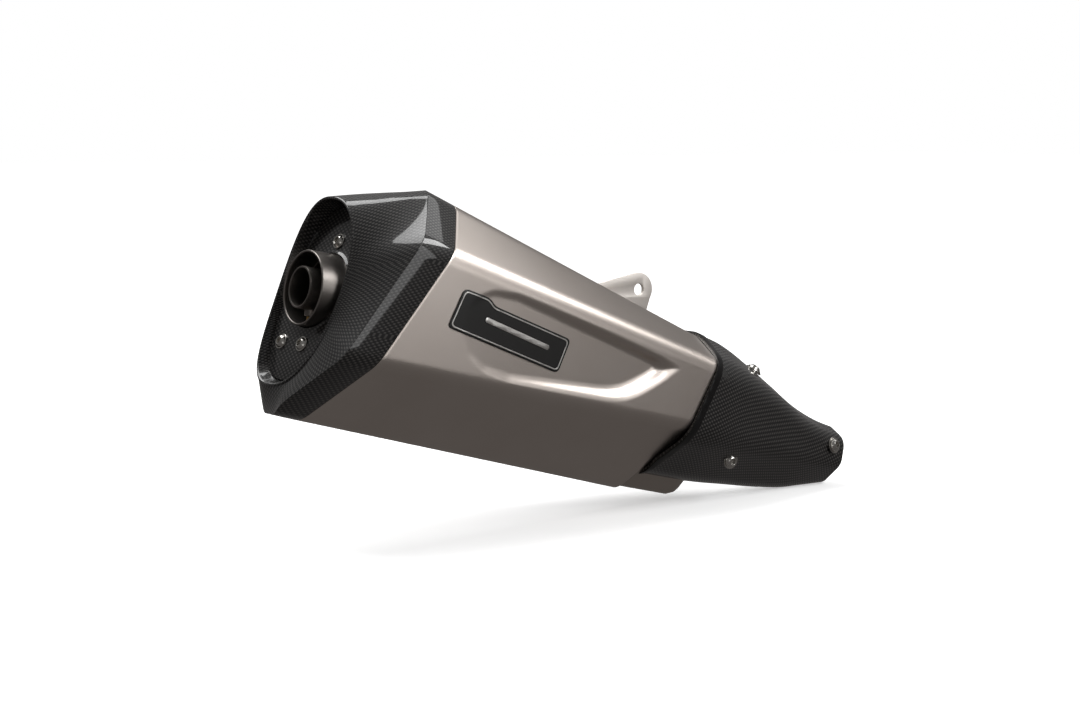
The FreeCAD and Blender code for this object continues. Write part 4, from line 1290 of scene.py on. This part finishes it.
@dataclass
class Damper:
    """Removable noise damper: lip, neck, cone and collar, with its lug and jack screw."""

    pipe: float = 14.0
    wall: float = 1.5
    lip: float = 2.4
    neck: float = 16.0
    cone: float = 14.0
    collar: float = 18.0
    wide: float = 23.4
    jack_x: float = 9.0
    jack: float = 2.0
    jack_length: float = 10.5
    jack_foot: float = -23.38
    jack_hex: float = 2.0
    pitch: float = 0.7
    lug: float = 4.6
    sides: int = 96

    def build(self) -> None:
        """Turn the damper, add the lug and set the jack screw."""
        full = self.neck + self.cone
        end = full + self.collar
        bore = self.pipe - self.wall
        piece = Workpiece.turned("damper_shell", self.sides, [
            (self.neck, bore), (-self.lip + 0.9, bore), (-self.lip + 0.25, bore + 0.2),
            (-self.lip, bore + 0.7), (-self.lip, self.pipe - 0.6), (-self.lip + 0.2, self.pipe - 0.15),
            (-self.lip + 0.7, self.pipe), (self.neck - 2.0, self.pipe), (self.neck - 0.6, self.pipe + 0.15),
            (self.neck + 0.6, self.pipe + 0.9), (full - 0.8, self.wide - 0.5), (full + 0.6, self.wide),
            (end - 0.4, self.wide), (end, self.wide - 0.4), (end, self.wide - self.wall),
            (full, self.wide - self.wall)])
        piece.join_rims()
        piece.dress(Body.DAMPER, DAMPER_BLACK, "dark_steel", ["damper"], can_to_row(), 40.0)
        self.build_lug()
        self.build_jack()

    def build_lug(self) -> None:
        """Threaded lug under the neck."""
        outer = self.jack + 2.0
        bore = self.jack + 0.05
        piece = Workpiece.turned("damper_lug", 48, [
            (0.0, bore), (4.3, bore), (self.lug, self.jack + 0.35), (self.lug, outer - 0.5), (4.1, outer),
            (0.0, outer)])
        piece.join_rims()
        seat = Vector((self.jack_x, 0.0, -self.pipe + 0.6))
        piece.dress(Body.DAMPER, DAMPER_BLACK, "dark_steel", (),
                    can_to_row() @ aim_matrix(seat, -UPWARDS), 40.0)

    def build_jack(self) -> None:
        """Jack screw with its socket and cup point."""
        length = self.jack_length
        profile = [(0.0, self.jack - 0.5), (0.5, self.jack)]
        station = 0.9
        while station < length - 1.0:
            profile += [(station, self.jack), (station + 0.25, self.jack - 0.25), (station + 0.5, self.jack)]
            station += self.pitch
        profile += [(length - 0.4, self.jack), (length, self.jack - 0.3), (length, 1.5)]
        piece = Workpiece.turned("damper_jack_screw", 48, profile)
        sink_socket(piece, self.jack_hex, (length - 0.1, length - 2.5, length - 2.8), 0.2)
        foot = Vector((self.jack_x, 0.0, self.jack_foot))
        piece.dress(Body.JACK, BRASS, "brass_screw", ["damper_screw"],
                    can_to_row() @ aim_matrix(foot, UPWARDS), 30.0)


# ---------------------------------------------------------------------------
# Heat shield
# ---------------------------------------------------------------------------
@dataclass
class HeatShield:
    """Carbon heat shield over the link pipe, with a resin lip along its rear edge.

    Stations are x, top, upper side, lower side, bottom and half width, in mm.
    """

    stations: tuple[tuple[float, ...], ...] = (
        (286.0, 24.5, 4.0, -58.0, -89.5, 57.5), (320.0, 17.5, -3.0, -57.0, -90.5, 56.5),
        (345.0, 12.5, -8.0, -58.0, -90.5, 52.0), (372.0, 2.0, -15.0, -59.0, -89.5, 46.0),
        (400.0, -10.5, -24.0, -60.0, -88.5, 40.0), (428.0, -23.0, -34.0, -61.5, -86.5, 34.0),
        (455.0, -31.0, -40.5, -62.0, -81.5, 29.5), (484.0, -35.5, -44.0, -61.5, -75.5, 26.0))
    round_share: float = 0.42
    wall: float = 2.0
    far_edge: float = 16.0
    front: float = 472.5
    skirt_y: float = -10.0
    skirt_z: float = -58.0
    skin_run: Point = (287.0, 483.0)
    hub_z: float = -35.0
    cloth_slope: float = 1.08
    rings: int = 52
    arc_steps: int = 7
    side_steps: int = 9
    lip_width: float = 6.0
    lip_rise: float = 0.7

    def row(self, x: float) -> tuple[float, ...]:
        """Section sizes at a station, on a smooth curve through the drawn ones."""
        line = self.stations
        k = max(i for i in range(len(line) - 1) if line[i][0] <= x)
        a, b = line[k], line[k + 1]
        before = line[max(k - 1, 0)]
        after = line[min(k + 2, len(line) - 1)]
        run = b[0] - a[0]
        t = (x - a[0]) / run
        sizes = [x]
        for i in range(1, 6):
            slope_a = (b[i] - before[i]) / (b[0] - before[0]) * run
            slope_b = (after[i] - a[i]) / (after[0] - a[0]) * run
            value = ((2 * t ** 3 - 3 * t ** 2 + 1) * a[i] + (t ** 3 - 2 * t ** 2 + t) * slope_a
                     + (-2 * t ** 3 + 3 * t ** 2) * b[i] + (t ** 3 - t ** 2) * slope_b)
            sizes.append(value)
        return tuple(sizes)

    def section(self, x: float) -> list[Vector]:
        """Outline of the shield at a station, starting at the top on the wheel side."""
        _, top, upper, lower, bottom, half = self.row(x)
        radius = half * self.round_share
        near = [(-half * 0.32, top), (-half, upper), (-half, lower), (-half * 0.38, bottom)]
        line = near + [(-y, z) for y, z in reversed(near)]
        points: list[Vector] = []
        arcs = []
        for i, (y, z) in enumerate(line):
            corner = Vector((x, y, z))
            a = (Vector((x, *line[i - 1])) - corner).normalized()
            b = (Vector((x, *line[(i + 1) % 8])) - corner).normalized()
            half_angle = a.angle(b) / 2
            reach = radius / math.tan(half_angle)
            hub = corner + (a + b).normalized() * (radius / math.sin(half_angle))
            start, end = corner + a * reach - hub, corner + b * reach - hub
            start, end = start.normalized(), end.normalized()
            arcs.append([hub + start.slerp(end, k / self.arc_steps) * radius
                         for k in range(self.arc_steps + 1)])
        for i, arc in enumerate(arcs):
            points += arc
            follow = arcs[(i + 1) % 8][0]
            points += [arc[-1].lerp(follow, k / self.side_steps) for k in range(1, self.side_steps)]
        return points

    def build(self) -> None:
        """Draw the skin ring by ring, trim it, and give it cloth, wall and lip."""
        first, last = self.skin_run
        stations = [blend_number(first, last, k / self.rings) for k in range(self.rings + 1)]
        sections = [self.section(x) for x in stations]
        piece = Workpiece.ring("shield_skin", len(sections[0]), 40.0, first)
        tree = None
        for ring in sections:
            if tree is None:
                bpy.ops.mesh.select_all(action="SELECT")
                picked = sorted(piece.mesh().verts, key=lambda v: math.atan2(v.co.z, v.co.y))
                order = sorted(ring, key=lambda p: math.atan2(p.z - self.hub_z, p.y))
                for v, p in zip(picked, order):
                    v.co = p * MM
            else:
                piece.grow()
                for v in piece.mesh().verts:
                    if v.select:
                        v.co = ring[tree.find(v.co)[1]] * MM
            bmesh.update_edit_mesh(piece.obj.data)
            tree = KDTree(len(ring))
            for i, p in enumerate(ring):
                tree.insert(p * MM, i)
            tree.balance()
        piece.face_outwards()
        self.lay_cloth(piece, sections)
        edge = Cut(FRONT_SEAM.x + SEAM_GAP, FRONT_SEAM.per_z)
        piece.slice(edge.point(), edge.normal(), drop_back=True)
        piece.slice(AHEAD * self.front, AHEAD, drop_front=True)
        piece.slice(SIDEWAYS * self.far_edge, SIDEWAYS, drop_front=True)
        piece.take(Part.FACE, lambda f: f.calc_center_median().y > self.skirt_y * MM
                   and f.calc_center_median().z < self.skirt_z * MM)
        bpy.ops.mesh.delete(type="FACE")
        lip = piece.repeat("shield_lip", Matrix.Identity(4))
        self.build_lip(lip, edge)
        bpy.context.view_layer.objects.active = piece.obj
        piece.obj.select_set(True)
        bpy.ops.object.mode_set(mode="EDIT")
        piece.thicken(self.wall)
        piece.round_edges(0.5, 50.0, 3)
        piece.dress(Body.MUFFLER, SHIELD_CARBON, "carbon", ["heat_shield"], can_to_row(), 50.0)

    def build_lip(self, lip: Workpiece, edge: Cut) -> None:
        """Keep a band of the skin along the seam and raise it."""
        inner = Cut(edge.x + self.lip_width, edge.per_z)
        lip.slice(inner.point(), inner.normal(), drop_front=True)
        lip.modify("SOLIDIFY", thickness=(self.lip_rise + 0.3) * MM, offset=0.4, use_even_offset=True)
        lip.round_edges(0.45, 50.0, 3)
        lip.dress(Body.MUFFLER, LIP_RESIN, "carbon", (), can_to_row(), 50.0)

    def lay_cloth(self, piece: Workpiece, sections: list[list[Vector]]) -> None:
        """Lay the cloth from the top ridge down, by true lengths."""
        spots: dict[tuple[int, ...], Point] = {}
        for ring in sections:
            girth = 0.0
            for i, p in enumerate(ring):
                if i:
                    girth += (p - ring[i - 1]).length
                spots[point_key(p)] = (p.x * self.cloth_slope, girth)

        def spread(face: bmesh.types.BMFace) -> list[Point]:
            """Places of a face's corners, with the cloth's joint closed."""
            found = [spots.get(point_key(loop.vert.co / MM), (0.0, 0.0)) for loop in face.loops]
            widest = max(v for _, v in found)
            return [(u, widest if widest - v > CLOTH_JUMP else v) for u, v in found]

        piece.lay_uv(spread)


# ---------------------------------------------------------------------------
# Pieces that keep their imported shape, with softened edges
# ---------------------------------------------------------------------------
@dataclass
class Softened:
    """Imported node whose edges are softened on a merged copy.

    Args:
        node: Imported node.
        finish: Its finish.
        slot: Material slot.
        body: Body it rides on.
        edge: Width of the softened edges, mm.
    """

    node: str
    finish: Finish
    slot: str
    body: Body = Body.MUFFLER
    edge: float = 0.3

    def build(self) -> None:
        """Merge a copy, join its flat faces and soften its edges."""
        piece = Workpiece.copy_node(self.node + "_soft", self.node)
        bpy.ops.mesh.select_all(action="SELECT")
        bpy.ops.mesh.dissolve_limited(angle_limit=math.radians(1.0))
        piece.round_edges(self.edge, 35.0, 2)
        piece.dress(self.body, self.finish, self.slot, [self.node], None, 35.0)


# ---------------------------------------------------------------------------
# Badge
# ---------------------------------------------------------------------------
@dataclass
class Badge:
    """Plain black badge plate with a thin bright border and one plain bar."""

    outline: tuple[Point, ...] = ((79.0, -10.5), (87.5, 16.5), (109.0, 13.0), (114.0, 8.5), (181.5, -4.5),
                                  (175.0, -28.5))
    bar: tuple[Point, ...] = ((108.0, 0.5), (164.0, -11.0), (163.3, -14.4), (107.3, -2.9))
    surface: float = -57.0
    strip: float = 2.5
    arc_steps: int = 6
    press: PressedWedge = field(default_factory=PressedWedge)

    def rounded(self, inset: float, radius: float, outline: Sequence[Point] = ()) -> list[Point]:
        """Outline, the plate's own if none is given, moved in and with round corners."""
        outline = outline or self.outline
        count = len(outline)
        moved = []
        for i in range(count):
            a, b, c = (Vector(outline[(i + k) % count]) for k in (-1, 0, 1))
            before, after = (b - a).normalized(), (c - b).normalized()
            n0, n1 = Vector((before.y, -before.x)), Vector((after.y, -after.x))
            moved.append(b + (n0 + n1) * (inset / (1.0 + n0.dot(n1))))
        line: list[Point] = []
        for i in range(count):
            a, b, c = moved[i - 1], moved[i], moved[(i + 1) % count]
            reach = min(radius, (a - b).length * 0.45, (c - b).length * 0.45)
            start, end = b + (a - b).normalized() * reach, b + (c - b).normalized() * reach
            for k in range(self.arc_steps + 1):
                t = k / self.arc_steps
                line.append(tuple(start * (1 - t) ** 2 + b * 2 * t * (1 - t) + end * t ** 2))
        return line

    def side(self, x: float, z: float) -> float:
        """Where the sleeve's outer side stands along Y."""
        upper_w, upper_z = CORNERS[1].at(x)
        lower_w, lower_z = CORNERS[2].at(x)
        share = (z - lower_z) / (upper_z - lower_z)
        return -blend_number(lower_w, upper_w, share) + self.press.at(x, z)

    def plate(self, name: str, line: list[Point], lift: float, wall: float, finish: Finish,
              hole: list[Point] | None = None, nodes: Sequence[str] = ()) -> None:
        """Cut a plate to an outline and press it onto the sleeve.

        Args:
            name: Name of the piece.
            line: Outline (x, z).
            lift: Height of its outer face off the sleeve, mm.
            wall: Thickness, mm.
            finish: Its finish.
            hole: Outline to leave open, with as many points as the outline.
            nodes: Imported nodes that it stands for.
        """
        piece = Workpiece.ring(name, len(line), 30.0, 0.0, hole is None)
        piece.take(Part.POINT, lambda v: True)
        ring = sorted((v for v in piece.mesh().verts), key=lambda v: math.atan2(v.co.z, v.co.y))
        for v, (x, z) in zip(ring, line):
            v.co = Vector((x, self.surface, z)) * MM
        bmesh.update_edit_mesh(piece.obj.data)
        if hole is not None:
            pairs = {point_key(a, 100): Vector((b[0], self.surface, b[1])) for a, b in zip(line, hole)}
            bpy.ops.mesh.select_all(action="SELECT")
            piece.grow()
            piece.place(lambda p: pairs[point_key((p.x, p.z), 100)])
        for axis, spread in ((AHEAD, [p[0] for p in line]), (UPWARDS, [p[1] for p in line])):
            for k in range(1, int((max(spread) - min(spread)) / self.strip)):
                piece.slice(axis * (min(spread) + k * self.strip), axis)
        piece.place(lambda p: Vector((p.x, self.side(p.x, p.z) - lift, p.z)), picked=False)
        shape = piece.mesh()
        if sum(f.normal.y for f in shape.faces) > 0:
            bpy.ops.mesh.select_all(action="SELECT")
            bpy.ops.mesh.flip_normals()
        piece.thicken(wall)
        piece.round_edges(min(0.22, wall * 0.4), 50.0)
        piece.dress(Body.MUFFLER, finish, "badge", nodes, can_to_row(), 40.0)

    def build(self) -> None:
        """Build plate, border and bar."""
        self.plate("badge_face", self.rounded(0.0, 4.0), 0.9, 0.8, BADGE_BLACK, None, ["badge_plate"])
        self.plate("badge_bar", self.rounded(0.0, 1.7, self.bar), 1.3, 0.3, BADGE_SILVER)
        self.plate("badge_border", self.rounded(1.3, 3.4), 1.15, 0.3, BADGE_SILVER, self.rounded(2.1, 3.0))


# ---------------------------------------------------------------------------
# Studio
# ---------------------------------------------------------------------------
@dataclass(frozen=True)
class Lamp:
    """One rectangular soft light.

    Args:
        name: Name of the lamp.
        place: Where it hangs, metres.
        target: Where it points, metres.
        size: Width and height, metres.
        watts: Power.
    """

    name: str
    place: tuple[float, float, float]
    target: tuple[float, float, float]
    size: Point
    watts: float

    def hang(self) -> None:
        """Add the light to the scene."""
        data = bpy.data.lights.new(self.name, "AREA")
        data.shape = "RECTANGLE"
        data.size, data.size_y = self.size
        data.energy = self.watts
        lamp = bpy.data.objects.new(self.name, data)
        bpy.context.scene.collection.objects.link(lamp)
        lamp.location = self.place
        lamp.rotation_euler = (Vector(self.target) - Vector(self.place)).to_track_quat("-Z", "Y").to_euler()


LAMPS = (Lamp("long_strip", (0.5, -0.9, 1.05), (-0.3, 0.0, 0.08), (1.5, 0.3), 13.0),
         Lamp("front_panel", (0.5, -1.7, 0.5), (-0.35, 0.0, 0.1), (0.8, 0.9), 4.0),
         Lamp("high_panel", (1.0, 0.2, 1.5), (-0.2, 0.0, 0.05), (0.9, 0.7), 2.4),
         Lamp("over_back", (-0.5, 0.75, 1.7), (-0.25, 0.0, 0.0), (1.4, 1.4), 30.0),
         Lamp("low_left", (-0.95, -0.75, 0.12), (-0.42, 0.0, 0.1), (0.3, 0.3), 0.25))
WHITE = (1.0, 1.0, 1.0, 1.0)
LOW_GREY = (0.13, 0.123, 0.12, 1.0)
HIGH_GREY = (0.2, 0.2, 0.2, 1.0)


@dataclass
class Studio:
    """Pale floor, soft lights and the camera."""

    eye: Vector = field(default_factory=lambda: Vector((-1.194, -1.3101, 0.2567)))
    right: Vector = field(default_factory=lambda: Vector((0.8155, -0.5787, 0.0)))
    back: Vector = field(default_factory=lambda: Vector((-0.5755, -0.8110, 0.1045)))
    lens: float = 76.8
    floor_size: float = 24.0
    glow_near: float = 0.3
    glow_far: float = 1.6
    glow_least: float = 0.42

    def build(self) -> None:
        """Lay the floor, hang the lights and set the camera."""
        low, _ = CAD_BOX
        Workpiece.free_hands()
        bpy.ops.mesh.primitive_plane_add(size=self.floor_size, location=(0.0, 0.0, low[2]))
        floor = bpy.context.active_object
        floor.name = "studio_floor"
        bpy.ops.object.transform_apply()
        paint = bpy.data.materials.new("studio_floor_paint")
        paint.use_nodes = True
        shader = paint.node_tree.nodes["Principled BSDF"]
        shader.inputs["Base Color"].default_value = linear("#f4f4f4")
        shader.inputs["Roughness"].default_value = 0.9
        shader.inputs["Emission Color"].default_value = WHITE
        tree = paint.node_tree
        place = add_node(tree, "ShaderNodeTexCoord").outputs["Object"]
        away = add_node(tree, "ShaderNodeVectorMath", {0: place}, operation="LENGTH")
        glow = add_node(tree, "ShaderNodeMapRange", {"Value": away.outputs["Value"], 1: self.glow_near,
                                                     2: self.glow_far, 3: self.glow_least, 4: 1.0})
        tree.links.new(glow.outputs[0], shader.inputs["Emission Strength"])
        floor.data.materials.append(paint)
        floor.visible_glossy = False
        floor.visible_diffuse = False
        floor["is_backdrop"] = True
        for lamp in LAMPS:
            lamp.hang()
        self.world()
        self.camera()

    @staticmethod
    def world() -> None:
        """White surround for the camera, with a grey gradient for light and reflections."""
        world = bpy.data.worlds.new("studio")
        bpy.context.scene.world = world
        world.use_nodes = True
        tree = world.node_tree
        tree.nodes.clear()
        aim = add_node(tree, "ShaderNodeTexCoord").outputs["Generated"]
        height = add_node(tree, "ShaderNodeSeparateXYZ", {"Vector": aim}).outputs[2]
        rise = add_node(tree, "ShaderNodeMapRange", {"Value": height, 1: -0.25, 2: 0.9, 3: 0.0, 4: 1.0})
        tone = add_node(tree, "ShaderNodeMix", {"Factor": rise.outputs[0], 6: LOW_GREY, 7: HIGH_GREY},
                        data_type="RGBA")
        lit = add_node(tree, "ShaderNodeBackground", {"Color": tone.outputs[2], "Strength": 1.0})
        seen = add_node(tree, "ShaderNodeBackground", {"Color": WHITE, "Strength": 1.0})
        ray = add_node(tree, "ShaderNodeLightPath").outputs["Is Camera Ray"]
        both = add_node(tree, "ShaderNodeMixShader", {0: ray, 1: lit.outputs[0], 2: seen.outputs[0]})
        add_node(tree, "ShaderNodeOutputWorld", {"Surface": both.outputs[0]})

    def camera(self) -> None:
        """Set the camera at its viewing angle."""
        data = bpy.data.cameras.new("studio_camera")
        data.lens = self.lens
        data.sensor_width = 36.0
        data.clip_end = 60.0
        cam = bpy.data.objects.new("studio_camera", data)
        bpy.context.scene.collection.objects.link(cam)
        up = self.back.cross(self.right)
        turn = Matrix((self.right, up, self.back)).transposed()
        cam.matrix_world = Matrix.Translation(self.eye) @ turn.to_4x4()
        bpy.context.scene.camera = cam
        bpy.context.scene.view_settings.view_transform = "Standard"


INNER_NODES: dict[str, Finish] = {
    "rear_bulkhead": INNER_STEEL, "bond_ring": INNER_STEEL, "end_cap_posts": INNER_STEEL,
    "perforated_core": INNER_STEEL, "steel_wool_wrap": STEEL_WOOL, "packing": GLASS_WOOL,
    "inlet_cone": INNER_STEEL, "damper_tail": DAMPER_BLACK, "link_pipe": PIPE_STEEL,
    "shield_lower_bracket": PIPE_STEEL,
    "shield_top_post": PIPE_STEEL, "shield_front_arm": PIPE_STEEL}


def main() -> None:
    """Build every sub-assembly in order."""
    logging.basicConfig(level=logging.INFO, format="%(name)s %(message)s")
    Sleeve().build()
    EndCap().build()
    CapPanel().build()
    CapScrews().build()
    Outlet().build()
    Damper().build()
    HeatShield().build()
    ShieldScrews().build()
    Badge().build()
    for soft in (Softened("hanger_plate", BRIGHTENED_TITANIUM, "pale_titanium"),
                 Softened("hanger_pad", BRIGHTENED_TITANIUM, "pale_titanium"),
                 Softened("front_cap", NOSE_TITANIUM, "titanium"),
                 Softened("link_collar", PIPE_STEEL, "pipe_steel"),
                 Softened("inlet_socket", PIPE_STEEL, "pipe_steel"),
                 Softened("clamp_band", STAINLESS, "screw_steel", Body.CLAMP),
                 Softened("clamp_nut", STAINLESS, "screw_steel", Body.CLAMP),
                 Softened("clamp_bolt", STAINLESS, "screw_steel", Body.CLAMP_BOLT)):
        soft.build()
    for node, finish in INNER_NODES.items():
        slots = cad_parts[node].data.materials
        slots.clear()
        slots.append(finish.material())
    Studio().build()


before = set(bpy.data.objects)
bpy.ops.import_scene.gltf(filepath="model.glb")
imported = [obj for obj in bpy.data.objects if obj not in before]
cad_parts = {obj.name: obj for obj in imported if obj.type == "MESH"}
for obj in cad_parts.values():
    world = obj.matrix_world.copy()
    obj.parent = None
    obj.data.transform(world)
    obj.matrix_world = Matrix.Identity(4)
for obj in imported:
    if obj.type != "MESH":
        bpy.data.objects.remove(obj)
CAD_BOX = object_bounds()

if __name__ == "__main__":
    main()
